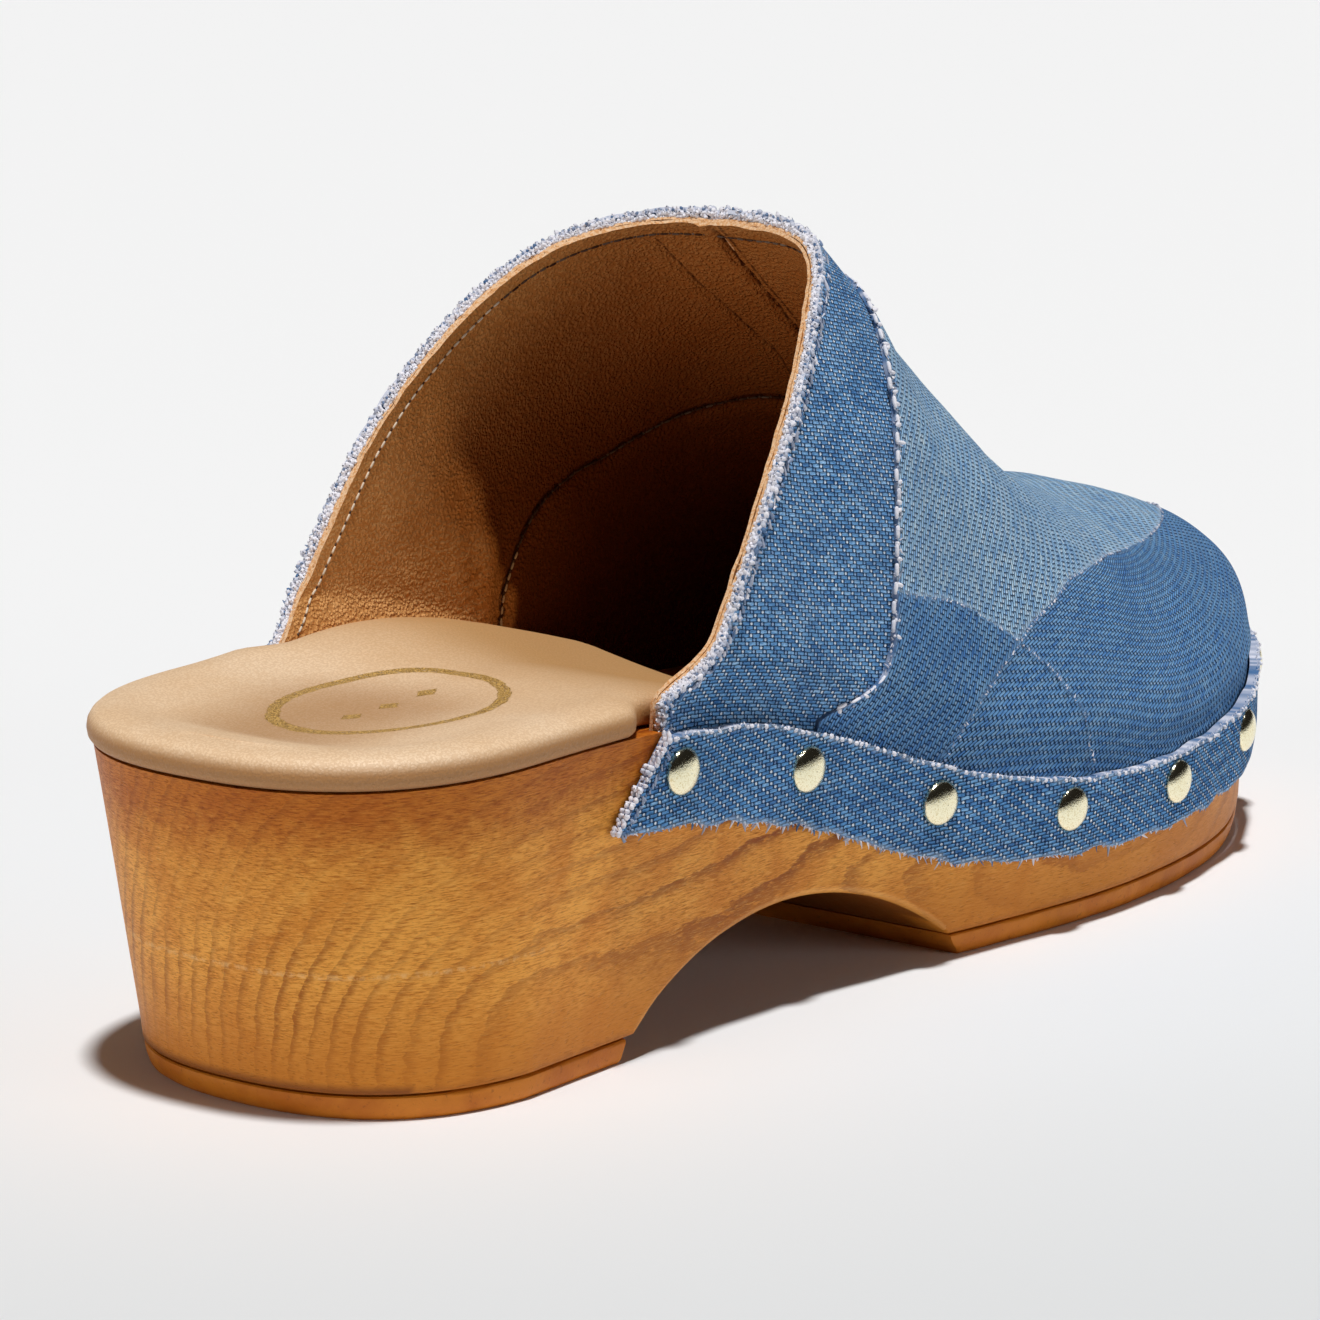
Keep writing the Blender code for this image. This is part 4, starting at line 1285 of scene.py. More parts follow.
def sole_sections(y):
    """Sections of the wood at the stations y."""
    low = underside(y)
    in_arch = ease((low - RUBBER) / ARCH_ARRIS_RISE) * (y < SPRING_START)
    arris = ARRIS + (ARCH_ARRIS - ARRIS) * in_arch
    shelf = margin_low(y) - GAP
    top = smooth(SIDE, "wood", y)

    def half(side):
        covered = y >= REBATE_START[side] - GAP
        rebate = np.where(covered, REBATE_DEPTH, 0.0)

        def sanding(z):
            bare = side_wall(y, side, z)
            soft = waves(3, bare[:, 0], y, z * 1.5, size=46)
            return SANDING * soft * ease((z - low - arris) / 3)

        rows = inward(side_wall(y, side, low, -arris), np.linspace(0, 1, 7)[:-1])
        for turn in np.radians(np.linspace(0, 90, 6)):
            rows.append(side_wall(y, side, low + arris * (1 - np.cos(turn)), -arris * (1 - np.sin(turn))))
        for share in np.linspace(0, 1, int(26 * DETAIL))[1:]:
            z = low + arris + (shelf - low - arris) * share
            rows.append(side_wall(y, side, z, sanding(z)))
        rows.append(side_wall(y, side, shelf, np.where(covered, -rebate, sanding(shelf))))
        for share in np.linspace(0, 1, 9)[1:]:
            z = shelf + (top - shelf) * share
            rows.append(side_wall(y, side, z, np.where(covered, -rebate, sanding(z))))
        rows += inward(rows[-1], np.linspace(1, 0, 6)[1:])
        return np.stack(rows, 1)
    return both_sides(half)


walls = [start - GAP for start in REBATE_START.values()]
breaks = [wall - 0.05 for wall in walls] + walls + [HEEL_BREAST, ARCH_FRONT]
wood_grid = sole_sections(stations(HEEL_BACK, TOE_TIP, 2.0, breaks))
wood_y, wood_z = wood_grid[..., 1], wood_grid[..., 2]
over_low = wood_z - underside(wood_y)
wood_side = np.where(wood_grid[..., 0] > smooth(PLAN, "centre", wood_y), 1, -1)
inset = np.abs(side_wall(wood_y, wood_side, wood_z)[..., 0] - wood_grid[..., 0])
arch_share = (wood_y > HEEL_BREAST) & (wood_y < ARCH_FRONT)
sole = surface("wooden_sole", wood_grid, [wood_finish], {
    "below_top": smooth(SIDE, "wood", wood_y) - wood_z,
    "above_joint": np.where(arch_share, FAR_KEPT, over_low),
    "above_arch": np.where(arch_share & (inset < ARCH_ARRIS + 0.2), np.abs(over_low - RUB_RISE), FAR_KEPT),
    "underneath_shade": (over_low < 0.6) & (inset > ARCH_ARRIS),
})
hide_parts("sole")
print("wooden sole:", len(sole.data.polygons), "faces")

# %% [markdown]
# ## Rubber under heel and forefoot
# Honey-coloured crepe rubber is glued on in sheets and ground flush with the wood, so its side
# carries on the wood's lean and is a touch narrower at the floor. A fine groove stays at the joint.

# %% Rubber treads
RUBBER_SIDE = table("height out", [
    (0.0, -1.05),
    (0.3, -0.68),
    (0.8, -0.42),
    (1.8, -0.25),
    (3.1, -0.1),
    (3.5, -0.16),
    (RUBBER - GAP, -0.4),
])
HEEL_CUT_BACK = 1.6         # from the wood's corner to the rubber's cut end
FRONT_CUT_BACK = 0.4
FRONT_CUT_SLANT = 3.2
GRINDING = 0.05


def rubber_sections(y, cut):
    """Sections of a rubber sheet; cut shapes its slanted cut end."""
    lift = np.where(y > SPRING_START, underside(y) - RUBBER, 0.0)

    def half(side):
        profile = list(zip(RUBBER_SIDE["height"], RUBBER_SIDE["out"]))
        rows = inward(side_wall(y, side, lift, profile[0][1]), np.linspace(0, 1, 5)[:-1])
        for height, out in profile:
            grinding = GRINDING * waves(5, y, np.full(y.shape, height * 4), size=9)
            rows.append(side_wall(y, side, lift + height, out + grinding))
        rows += inward(rows[-1], np.linspace(1, 0, 4)[1:])
        return np.stack(rows, 1)
    made = both_sides(half)
    up = (made[..., 2] - lift[:, None]) / (RUBBER - GAP)
    made[..., 1] = cut(made[..., 1], up)
    return made


def close_end(grid, at):
    """Adds a flat cut end to a solid whose sections do not meet there."""
    middle = grid[at].mean(0)
    cap = middle + (grid[at] - middle) * 0.001
    return np.concatenate([cap[None], grid] if at == 0 else [grid, cap[None]])


heel_end = HEEL_BREAST - HEEL_CUT_BACK
heel_grid = rubber_sections(stations(HEEL_BACK, heel_end, 2.0),
                            lambda y, up: np.minimum(y, heel_end - (1 - up)))
front_start = ARCH_FRONT + FRONT_CUT_BACK
front_grid = rubber_sections(stations(front_start, TOE_TIP, 2.0),
                             lambda y, up: np.maximum(y, front_start + FRONT_CUT_SLANT * (1 - up)))
heel_rubber = surface("heel_rubber", close_end(heel_grid, -1), [rubber_finish])
front_rubber = surface("forefoot_rubber", close_end(front_grid, 0), [rubber_finish])
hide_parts("heel_tread")
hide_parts("forefoot_tread")

# %% [markdown]
# ## Padded insole
# The insole is foam wrapped in thin smooth leather. It overhangs the heel by a millimetre, steps in
# behind the upper, dips under the heel bone and swells under the medial arch. Its rim is drawn with a
# soft roll: nearly upright below, then quickly round and flat. This is the one padded piece.

# %% Insole
INSOLE_THICK = 5.0
OVERHANG = 0.9              # past the heel's edge
STEP_IN = 3.3               # behind the upper
HEEL_DIP = 2.0              # cup under the heel bone, with where it ends and its two slopes
DIP_END = 62.0
DIP_SLOPES = (14.0, 30.0)
ARCH_SWELL = 4.8            # swelling under the medial arch, with its two ends and slopes
SWELL_ENDS = (26.0, 132.0)
SWELL_SLOPES = (62.0, 30.0)
INSOLE_SIDE = table("height out", [
    (0.0, -1.2),
    (0.25, -0.6),
    (0.9, -0.1),
    (1.8, 0.05),
    (2.8, -0.1),
    (3.6, -0.55),
    (4.2, -1.25),
    (4.6, -2.3),
    (4.85, -3.9),
    (4.97, -6.0),
])


def insole_out(y, side):
    """How far the insole's side lies outside the sole's top edge."""
    inside = ease((y - REBATE_START[side]) / 8.0 + 1.1)
    return OVERHANG - (OVERHANG + STEP_IN) * inside


def insole_sections(y):
    """Sections of the insole: flat below, rolled rim, cupped and swollen top."""
    base = smooth(SIDE, "wood", y) + GAP
    sag = HEEL_DIP * ease((y - HEEL_BACK) / DIP_SLOPES[0]) * ease((DIP_END - y) / DIP_SLOPES[1])
    rising = (y - SWELL_ENDS[0]) / SWELL_SLOPES[0]
    falling = (SWELL_ENDS[1] - y) / SWELL_SLOPES[1]
    rise = ARCH_SWELL * ease(np.minimum(rising, falling))

    def half(side):
        raised = rise if side < 0 else np.zeros(y.shape)
        normal = edge_normal(y, side)
        rows = []
        for height, out in zip(INSOLE_SIDE["height"], INSOLE_SIDE["out"]):
            plan = outline(y, side) + normal * (insole_out(y, side) + out)[:, None]
            lift = height + raised * height / INSOLE_THICK
            rows.append(np.concatenate([plan, (base + lift)[:, None]], 1))
        rows = inward(rows[0], np.linspace(0, 1, 5)[:-1]) + rows
        shares = np.linspace(1, 0, int(20 * DETAIL))[1:]
        for share, row in zip(shares, inward(rows[-1], shares)):
            top = base + INSOLE_THICK - sag * (1 - share ** 2) + raised * np.minimum(1.4 * share, 1.0)
            row[:, 2] = top - 0.03 * share + 0.10 * waves(8, row[:, 0], y, size=30)
            rows.append(row)
        return np.stack(rows, 1)
    return both_sides(half)


insole_grid = insole_sections(stations(HEEL_BACK, TOE_TIP, 1.8))
rim_height = insole_grid[..., 2] - smooth(SIDE, "wood", insole_grid[..., 1]) - GAP
insole = surface("padded_insole", insole_grid, [insole_finish], {"rim": rim_height}, sharp=60)
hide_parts("insole")
print("insole:", len(insole.data.polygons), "faces")

# %% [markdown]
# ## Lines of the upper
# All layers of the upper are drawn on the same lines around the last, from the lateral margin in the
# rebate, over the crest, down to the medial margin. Lines lie about a millimetre apart, so that
# seams, patches and creases are real relief. From the foot outward the layers are: nubuck lining,
# backing leather, white interlining, denim. Each is cut back by a different hair at the topline,
# which is left raw.

# %% Lines and layers
WALL = 2.6
DENIM = 0.8
VAMP_THICK = 0.7
PATCH_THICK = 0.45
OVERLAP = 0.8
MARGIN_SHARES = np.linspace(1, 0, int(8 * DETAIL) + 1)[:-1]
RISE_ANGLES = 90 * np.linspace(0, 1, int(88 * DETAIL) + 1) ** 1.3
LINE_SHARE = np.concatenate([MARGIN_SHARES, np.zeros(2 * len(RISE_ANGLES) - 1), MARGIN_SHARES[::-1]])
LINE_ANGLE = np.concatenate([
    np.zeros(len(MARGIN_SHARES)),
    RISE_ANGLES,
    180 - RISE_ANGLES[-2::-1],
    np.full(len(MARGIN_SHARES), 180.0),
])
SLANT = 0.8                 # distance across the slanting topline or seam for each mm along the shoe
FAR_OFF = 50.0              # stands for no seam near by


def clear_of_wood(angle, over=6.0):
    """0 at the wood's edge, 1 from some degrees above it."""
    return ease((np.minimum(angle, 180 - angle) - 1.0) / over)


TOPLINE_AT = topline(LINE_ANGLE)
SEAM_AT = seam(LINE_ANGLE)
OVERLAPPED = clear_of_wood(LINE_ANGLE)


def along_lines(start, end, shares):
    """Places and angles of a layer's grid: rows at these shares from start to end of every line."""
    y = start + (end - start) * np.asarray(shares)[:, None]
    depth = (smooth(SIDE, "wood", y) - margin_low(y)) * LINE_SHARE
    return y, LINE_ANGLE + np.where(LINE_ANGLE < 90, -depth, depth)


def lifted(y, angle, height):
    """Points over the last at a height along its normal."""
    return last_point(y, angle) + last_normal(y, angle) * np.broadcast_to(height, y.shape)[..., None]


def ragged(seed, size, depth):
    """An uneven cut edge: how far each line starts late or early."""
    return depth * waves(seed, girth(TOPLINE_AT, LINE_ANGLE), LINE_ANGLE * 0.3, size=size)


# %% [markdown]
# ### Patches
# The vamp is pieced together. A patch on its lower side starts at the collar's seam and ends at a
# second, slanting seam near the widest point, where the toe patch begins. Both are lapped over the
# vamp and left raw. The medial side repeats the lateral one.

# %% Patch edges: places along the shoe, and girth up from the wood's edge
PATCH_TOP = [(60, 24.5), (104, 26.8), (108.4, 26.0), (113, 26.2), (117.5, 26.4), (121.7, 26.2), (125.3, 25.2),
             (134, 22.0), (143, 17.0), (150, 10.0), (153, 0.0), (154, -16.0)]
TOE_PATCH_EDGE = [(112.5, -16.0), (117.5, 0.8), (119.7, 4.0), (122.0, 7.2), (124.6, 10.6), (131, 17.0),
                  (140, 24.0), (155, 31.0), (175, 34.0), (200, 33.0), (262, 30.0)]


def beside(line, y, height):
    """Signed distance to a line of corners, over 0 on its right-hand side as it runs."""
    best = np.full(y.shape, 1e9)
    side = np.zeros(y.shape)
    for (y0, h0), (y1, h1) in zip(line, line[1:]):
        dy, dh = y1 - y0, h1 - h0
        t = np.clip(((y - y0) * dy + (height - h0) * dh) / (dy * dy + dh * dh), 0, 1)
        off_y, off_h = y - y0 - t * dy, height - h0 - t * dh
        distance = np.hypot(off_y, off_h)
        turned = np.where(off_y * dh - off_h * dy >= 0, 1.0, -1.0)
        closer = distance < best - 1e-6
        side = np.where(closer, turned, side)
        best = np.where(closer, distance, best)
    return best * side


def step_up(distance, width=0.5):
    """Soft step from 0 to 1 where a distance goes through zero."""
    return ease(distance / width + 0.5)


# %% Creases pressed in by wear
BROAD_DENTS = 0.30
SMALL_DENTS = 0.10


def soft_dents(y, angle):
    """Slow unevenness of stretched cloth and leather, in millimetres."""
    flat = cloth_map(y, angle)
    broad = BROAD_DENTS * waves(21, flat[..., 0], flat[..., 1], size=42)
    small = SMALL_DENTS * waves(22, flat[..., 0], flat[..., 1], size=15)
    return (broad + small) * clear_of_wood(angle, over=10.0)


CREST_ANGLE = 92.0
CREASE_REACH = 46.0         # degrees to either side of the crest
CREASES = [                 # over the instep: place on the crest, width, depth, drift to the side
    (150.0, 2.4, 0.55, 6.0),
    (158.0, 2.0, 0.35, 9.0),
    (168.0, 2.6, 0.40, 5.0),
]


def flex_creases(y, angle):
    """Shallow troughs across the vamp where the foot bends."""
    total = 0.0
    for place, width, depth, drift in CREASES:
        bend = place + drift * ((angle - CREST_ANGLE) / 50.0) ** 2
        reach = bell(angle - CREST_ANGLE, CREASE_REACH)
        total = total - depth * bell(y - bend, width) * reach
        total = total + 0.4 * depth * bell(y - bend - 2.2 * width, width) * reach
    return total


# %% Collar panel and vamp
COLLAR_WARP = 5.0           # degrees from the shoe's length
VAMP_WARP = 82.0
PATCH_WARP = 73.0
TOE_WARP = 20.0
TOE_RADIUS = 45.0           # of the round toe in plan
STRAIGHT_FROM = 160.0       # from here to the toe the vamp's cloth runs straight along the crest
STRAIGHT_OVER = 40.0


def along_warp(flat, degrees):
    """Cloth coordinates across and along the warp, which is turned by degrees from the shoe's length."""
    turn = math.radians(degrees)
    s, t = flat[..., 0], flat[..., 1]
    return np.stack([t * math.cos(turn) - s * math.sin(turn), s * math.cos(turn) + t * math.sin(turn)], -1)


def round_toe(y, angle):
    """Flat coordinates of cloth wrapped round the toe: length along its edge, and height up and over."""
    point = last_point(y, angle)
    tip_x = last_point(TOE_TIP - 1.0, 90.0)[0]
    x = point[..., 0] - tip_x
    ahead = np.maximum(point[..., 1] - TOE_CAP_START, 0.0)
    behind = np.minimum(point[..., 1], TOE_CAP_START)
    turned = TOE_RADIUS * (math.pi / 2 - np.arctan2(x, ahead + 1e-6))
    length = turned + np.where(x > 0, behind, 2 * TOE_CAP_START - behind)
    return np.stack([length, point[..., 2] + TOE_RADIUS - np.hypot(x, ahead)], -1)


collar_y, collar_angle = along_lines(
    TOPLINE_AT + ragged(31, 7.0, 0.22), SEAM_AT + 4.0 * OVERLAPPED - 0.2, np.linspace(0, 1, int(40 * DETAIL)))
to_edge = (collar_y - TOPLINE_AT) * SLANT
curl = 0.25 * bell(to_edge, 1.2)
collar_lift = soft_dents(collar_y, collar_angle) + curl
collar = shell(
    "collar_denim",
    lifted(collar_y, collar_angle, collar_lift),
    lifted(collar_y, collar_angle, collar_lift - DENIM + 0.05),
    [collar_finish, collar_finish, yarn_finish],
    {"edge": np.minimum(to_edge, FAR_KEPT), "shade": np.full(collar_y.shape, 0.35)},
    {"cloth": along_warp(cloth_map(collar_y, collar_angle), COLLAR_WARP)})

vamp_shares = np.sin(math.pi / 2 * np.linspace(0, 1, int(150 * DETAIL)))
vamp_y, vamp_angle = along_lines(SEAM_AT + 0.3 + ragged(32, 5.0, 0.2), TOE_TIP, vamp_shares)
vamp_up = girth(vamp_y, vamp_angle)
flat_vamp = cloth_map(vamp_y, vamp_angle)
narrower = -np.gradient(half_girth(GIRTH_Y, np.zeros(GIRTH_Y.shape)))
narrower = narrower * ease((GIRTH_Y - STRAIGHT_FROM) / STRAIGHT_OVER)
flat_vamp[..., 1] += np.interp(vamp_y, GIRTH_Y, np.cumsum(narrower))
patch_edge = beside(PATCH_TOP, vamp_y, vamp_up)
toe_edge = beside(TOE_PATCH_EDGE, vamp_y, vamp_up)
from_seam = (vamp_y - SEAM_AT) * SLANT
lap = OVERLAP * clear_of_wood(vamp_angle)
vamp_lift = lap + soft_dents(vamp_y, vamp_angle) + flex_creases(vamp_y, vamp_angle)
clear_of_band = ease((vamp_up - 0.5) / 3.0)
raised = step_up(patch_edge) * step_up(-toe_edge) + 0.3 * step_up(toe_edge)
vamp_lift = vamp_lift + PATCH_THICK * raised * clear_of_band
nearest_edge = np.minimum(from_seam, np.minimum(np.abs(patch_edge), np.abs(toe_edge)))
vamp_inner = vamp_lift - VAMP_THICK - PATCH_THICK * clear_of_band * (vamp_lift > lap + 0.2)
vamp = shell(
    "vamp_denim",
    lifted(vamp_y, vamp_angle, vamp_lift),
    lifted(vamp_y, vamp_angle, vamp_inner),
    [vamp_finish, vamp_finish, yarn_finish],
    {"edge": np.clip(nearest_edge, 0, FAR_KEPT), "patch": patch_edge, "toe_patch": toe_edge,
     "shade": np.clip(0.90 + 0.40 * waves(33, vamp_up, size=3.0), 0, 1)},
    {"cloth": along_warp(flat_vamp, VAMP_WARP), "patch_cloth": along_warp(flat_vamp, PATCH_WARP),
     "toe_cloth": along_warp(round_toe(vamp_y, vamp_angle), TOE_WARP)})

# %% [markdown]
# ### Lining, backing and interlining
# The lining's own seams show inside: a double centre seam near the crest, and a curved one on the
# medial side. The nubuck is drawn into a trough along each, and puckers where the curved seam meets
# the insole. How far each point lies from the seams and from the edge of a painted shadow is kept on
# the mesh, so that the material can darken the grooves and paint the shadow on the medial lining beyond
# that edge.

# %% Lining and its seams
CURVED_SEAM = table("angle y", [
    (98.0, 156.0), (105.3, 152.6), (128.2, 143.0), (145.9, 129.5), (159.1, 116.5), (167.3, 109.5),
    (172.1, 105.7), (176.0, 104.3), (180.0, 104.0)])
CURVE_FROM = 97.0           # the angle where the curved seam starts, and where its trough fades in
CURVE_FADES_FROM = 96.0
CURVE_DEPTH = 0.7
CURVE_RIDGE = 0.45          # the nubuck swells again beside the trough
CENTRE_SEAM = table("y angle", [(118.0, 95.9), (122.4, 95.7), (130.0, 94.0), (140.0, 91.5), (150.0, 89.5)])
SECOND_CREASE = table("y angle", [
    (121.0, 110.5), (126.3, 108.7), (132.0, 105.8), (139.4, 102.4), (145.0, 100.0)])
CREST_SEAMS = ((CENTRE_SEAM, 0.95), (SECOND_CREASE, 0.5))     # with their depths
PUCKER_AT = (99.0, 172.0)   # place and angle of the foot of the curved seam
SHADOW_EDGE_HEIGHT = [51.0, 66.0, 78.0, 92.0, 114.0]     # edge of a shadow painted on the medial lining, ahead of the curved seam
SHADOW_EDGE_PLACE = [106.5, 99.5, 93.5, 85.0, 72.0]
SHADOW_EDGE_ENDS = 110.0           # the painted shadow fades out above this angle
SHADOW_EDGE_FADE = 15.0
SHADOW_EDGE_WANDER = 1.6
NICK_ANGLE = 95.8           # the folded nick of leather at the crest


def lining_relief(y, angle):
    """Troughs of the lining's seams and its puckers, in millimetres towards the denim."""
    per_degree = np.maximum(half_girth(y, angle) / 90.0, 0.1)
    off_curve = (y - smooth(CURVED_SEAM, "y", angle, key="angle")) * SLANT
    fade = ease((angle - CURVE_FADES_FROM) / 6.0)
    total = CURVE_DEPTH * bell(off_curve, 0.7) * fade - CURVE_RIDGE * bell(off_curve - 2.0, 1.4) * fade
    for seam_line, depth in CREST_SEAMS:
        off = (angle - smooth(seam_line, "angle", y)) * per_degree
        span = ease((y - seam_line["y"][0] + 4.0) / 4.0) * ease((seam_line["y"][-1] + 4.0 - y) / 6.0)
        total = total + depth * bell(off, 0.6) * span - 0.5 * depth * bell(off - 1.9, 1.2) * span
    near = bell(y - PUCKER_AT[0], 7.0) * bell(angle - PUCKER_AT[1], 6.0)
    total = total - 1.5 * near
    total = total + 1.3 * bell((y - 103.5) + 0.25 * (angle - 172), 1.6) * bell(angle - 172.5, 6.0)
    total = total + 1.0 * bell((y - 95.0) - 0.4 * (angle - 170), 1.5) * bell(angle - 172.0, 5.0)
    return total


def leather_layer(name, out, thick, seed, back, finishes, relief=None, length=None):
    """One layer, its outer face at height out over the last, from the topline to the toe or for a length."""
    start = TOPLINE_AT + back + ragged(seed, 6.0, 0.16) + ragged(seed + 1, 1.7, 0.07)
    if length is None:
        y, angle = along_lines(start, TOE_TIP, vamp_shares)
    else:
        y, angle = along_lines(start, TOPLINE_AT + length, np.linspace(0, 1, 8))
    lift = soft_dents(y, angle) * 0.6
    drawn = relief(y, angle) if relief else 0.0
    height = last_point(y, angle)[..., 2]
    # distance past the edge of the shadow painted on the medial lining
    past_shadow_edge = y - np.interp(height, SHADOW_EDGE_HEIGHT, SHADOW_EDGE_PLACE)
    past_shadow_edge = past_shadow_edge + 30.0 * ease((SHADOW_EDGE_ENDS - angle) / SHADOW_EDGE_FADE)
    past_shadow_edge = past_shadow_edge + SHADOW_EDGE_WANDER * waves(49, height, angle * 0.4, size=13)
    per_degree = np.maximum(half_girth(y, angle) / 90.0, 0.1)
    off_curve = (y - smooth(CURVED_SEAM, "y", angle, key="angle")) * SLANT
    seams = {"curved_off": off_curve + FAR_OFF * (angle < CURVE_FROM)}
    for seam_name, line in (("centre_off", CENTRE_SEAM), ("second_off", SECOND_CREASE)):
        outside = FAR_OFF * ((y < line["y"][0] - 3.0) | (y > line["y"][-1] + 6.0))
        seams[seam_name] = (angle - smooth(line, "angle", y)) * per_degree + outside
    kink = -0.5 * bell(angle - NICK_ANGLE, 2.2) * bell(y - TOPLINE_AT, 3.0)
    edge = np.clip((y - TOPLINE_AT) * SLANT, 0, FAR_KEPT)
    outer = lifted(y, angle, out + lift * 0.5 + kink)
    inner = lifted(y, angle, out - thick + lift + drawn + kink)
    values = {"edge": edge, "shade": np.full(y.shape, 0.12), "past_shadow_edge": past_shadow_edge, **seams}
    return shell(name, outer, inner, finishes, values)


lining = leather_layer("nubuck_lining", out=-2.0, thick=0.6, seed=41, back=0.0,
                       finishes=[nubuck_finish, nubuck_finish, cut_finish], relief=lining_relief)
backing = leather_layer("backing_leather", out=-1.42, thick=0.5, seed=44, back=0.1,
                        finishes=[cut_finish] * 3, length=9.0)
interlining = leather_layer("white_interlining", out=-0.78, thick=0.6, seed=47, back=0.35,
                            finishes=[yarn_finish] * 3, length=8.0)
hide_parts("upper")

# %% [markdown]
# ## Nailed band
# A strip of the same denim covers the joint of upper and wood. It is slanted at its rear ends, cut
# raw all round and nailed, so that it dips a little at each tack and its edges wander.

# %% Band and tack places
BAND_THICK = 1.8
BAND_BACK = 42.0
BAND_SLANT = 11.0
BAND_WIDTH = 13.0           # about, for the distance to its raw edges
DENTED = 0.45               # how deep the band is pressed in round a tack
PUFFED = 0.22               # how far it swells in a ring beyond that
PUFF = 0.18                 # slow unevenness of the whole strip
LOW_WANDER = 0.35           # how far its lower and its upper edge stray
HIGH_WANDER = 0.25
MEDIAL_SHIFT = 7.0
TACK_RADIUS = 3.65
TACK_HEIGHT = 1.75
TACK_SINK = 0.35
TACK_SPACING = 30.2
TACK_LEVEL = 0.6
TACK_FIRST = 56.2
BAND_COLUMNS = 460
BAND_ROWS = 18

tack_path = route(TACK_FIRST, TACK_FIRST - MEDIAL_SHIFT)
tack_count = int(tack_path[1][-1] / TACK_SPACING) + 1
tack_y, tack_side = along_route(tack_path, TACK_SPACING * np.arange(tack_count))
tack_low = smooth(SIDE, "band_low", tack_y)
tack_z = tack_low + (smooth(SIDE, "band_high", tack_y) - tack_low) * TACK_LEVEL
tack_at = side_wall(tack_y, tack_side, tack_z, 2 * GAP + BAND_THICK)
tack_out = unit(flat_normal(tack_y, tack_side) - np.array([0, 0, SIDE_DRAFT]))

band_path = route(BAND_BACK, BAND_BACK - MEDIAL_SHIFT)
band_length = band_path[1][-1]


def band_point(length, up, out=0.0):
    """A point of the band's outer face at a length along its lower edge and a share of its height."""
    length, up = np.broadcast_arrays(np.asarray(length, float), np.asarray(up, float))
    share = length / band_length
    high_at = BAND_SLANT + (band_length - 2 * BAND_SLANT) * share
    y, side = along_route(band_path, length + (high_at - length) * up)
    low = smooth(SIDE, "band_low", y)
    wander = LOW_WANDER * waves(51, length, size=11) * (1 - up)
    wander = wander + HIGH_WANDER * waves(52, length, size=14) * up
    z = low + (smooth(SIDE, "band_high", y) - low) * up + wander
    base = side_wall(y, side, z, GAP + BAND_THICK)
    away = np.linalg.norm(base[..., None, :] - tack_at, axis=-1).min(-1)
    dip = -DENTED * bell(away, 4.2) + PUFFED * bell(away - 5.5, 2.2)
    puff = PUFF * waves(53, length, up * 14, size=17)
    point = side_wall(y, side, z, GAP + BAND_THICK + dip + puff + out)
    return point, y, side, z


band_at = np.linspace(0, band_length, int(BAND_COLUMNS * DETAIL))[:, None]
band_up = np.linspace(0, 1, int(BAND_ROWS * DETAIL))[None, :]
band_outer, band_y, band_side, band_z = band_point(band_at, band_up)
band_inner = side_wall(band_y, band_side, band_z, GAP + 0.02)
band_run = edge_length(band_y, band_side)
band_edge = np.minimum(band_up, 1 - band_up) * BAND_WIDTH + 0 * band_at
band = shell("nailed_band", band_outer, band_inner, [band_finish, band_finish, yarn_finish],
             {"edge": band_edge, "shade": np.clip(0.65 + 0.55 * waves(54, band_z, band_run, size=2.4), 0, 1)},
             {"cloth": np.stack([band_z, band_run], -1)})
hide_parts("band")


# %% [markdown]
# ## Tack heads
# The tacks are brass-plated upholstery nails with a domed head. All heads are one mesh: the same
# profile turned about the axis of each tack.

# %% Tack heads
def domes(centres, outward, radius, height, rings=10, turns=40):
    """Domed heads of tacks, joined in one mesh."""
    arc = np.linspace(0.02, math.pi / 2, rings)
    profile = [(math.sin(a) * radius, math.cos(a) * height) for a in arc]
    profile += [(radius, -0.12), (radius * 0.9, -0.2), (0.02, -0.1)]
    across = unit(np.cross(outward, [0, 0, 1.0]))
    ring = circles(across, np.cross(across, outward), turns)
    rows = [centres[:, None] + outward[:, None] * h + ring * r for r, h in profile]
    return np.stack(rows, 1), rod_faces(len(centres), len(profile), turns)


tack_points, tack_faces = domes(tack_at - tack_out * TACK_SINK, tack_out, TACK_RADIUS, TACK_HEIGHT)
tacks = make_piece("brass_tack_heads", tack_points, tack_faces, [brass_finish], merge=0)
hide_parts(*[f"tack_{k + 1:02d}" for k in range(tack_count)])

# %% [markdown]
# ## Frayed edges
# Raw denim sheds its outermost yarns. What is left stands out as white ends of weft and tufts of blue
# warp. They are drawn as short bent rods along a path, thick and close on the topline and the band's
# slanted ends, long and sparse on its lower edge.

# %% Fringes
PILL = (0.35, 0.85, 1.0, 0.9, 0.3)     # widths along a yarn end, as shares of its radius
TUFT = (1.0, 0.85, 0.55, 0.2)


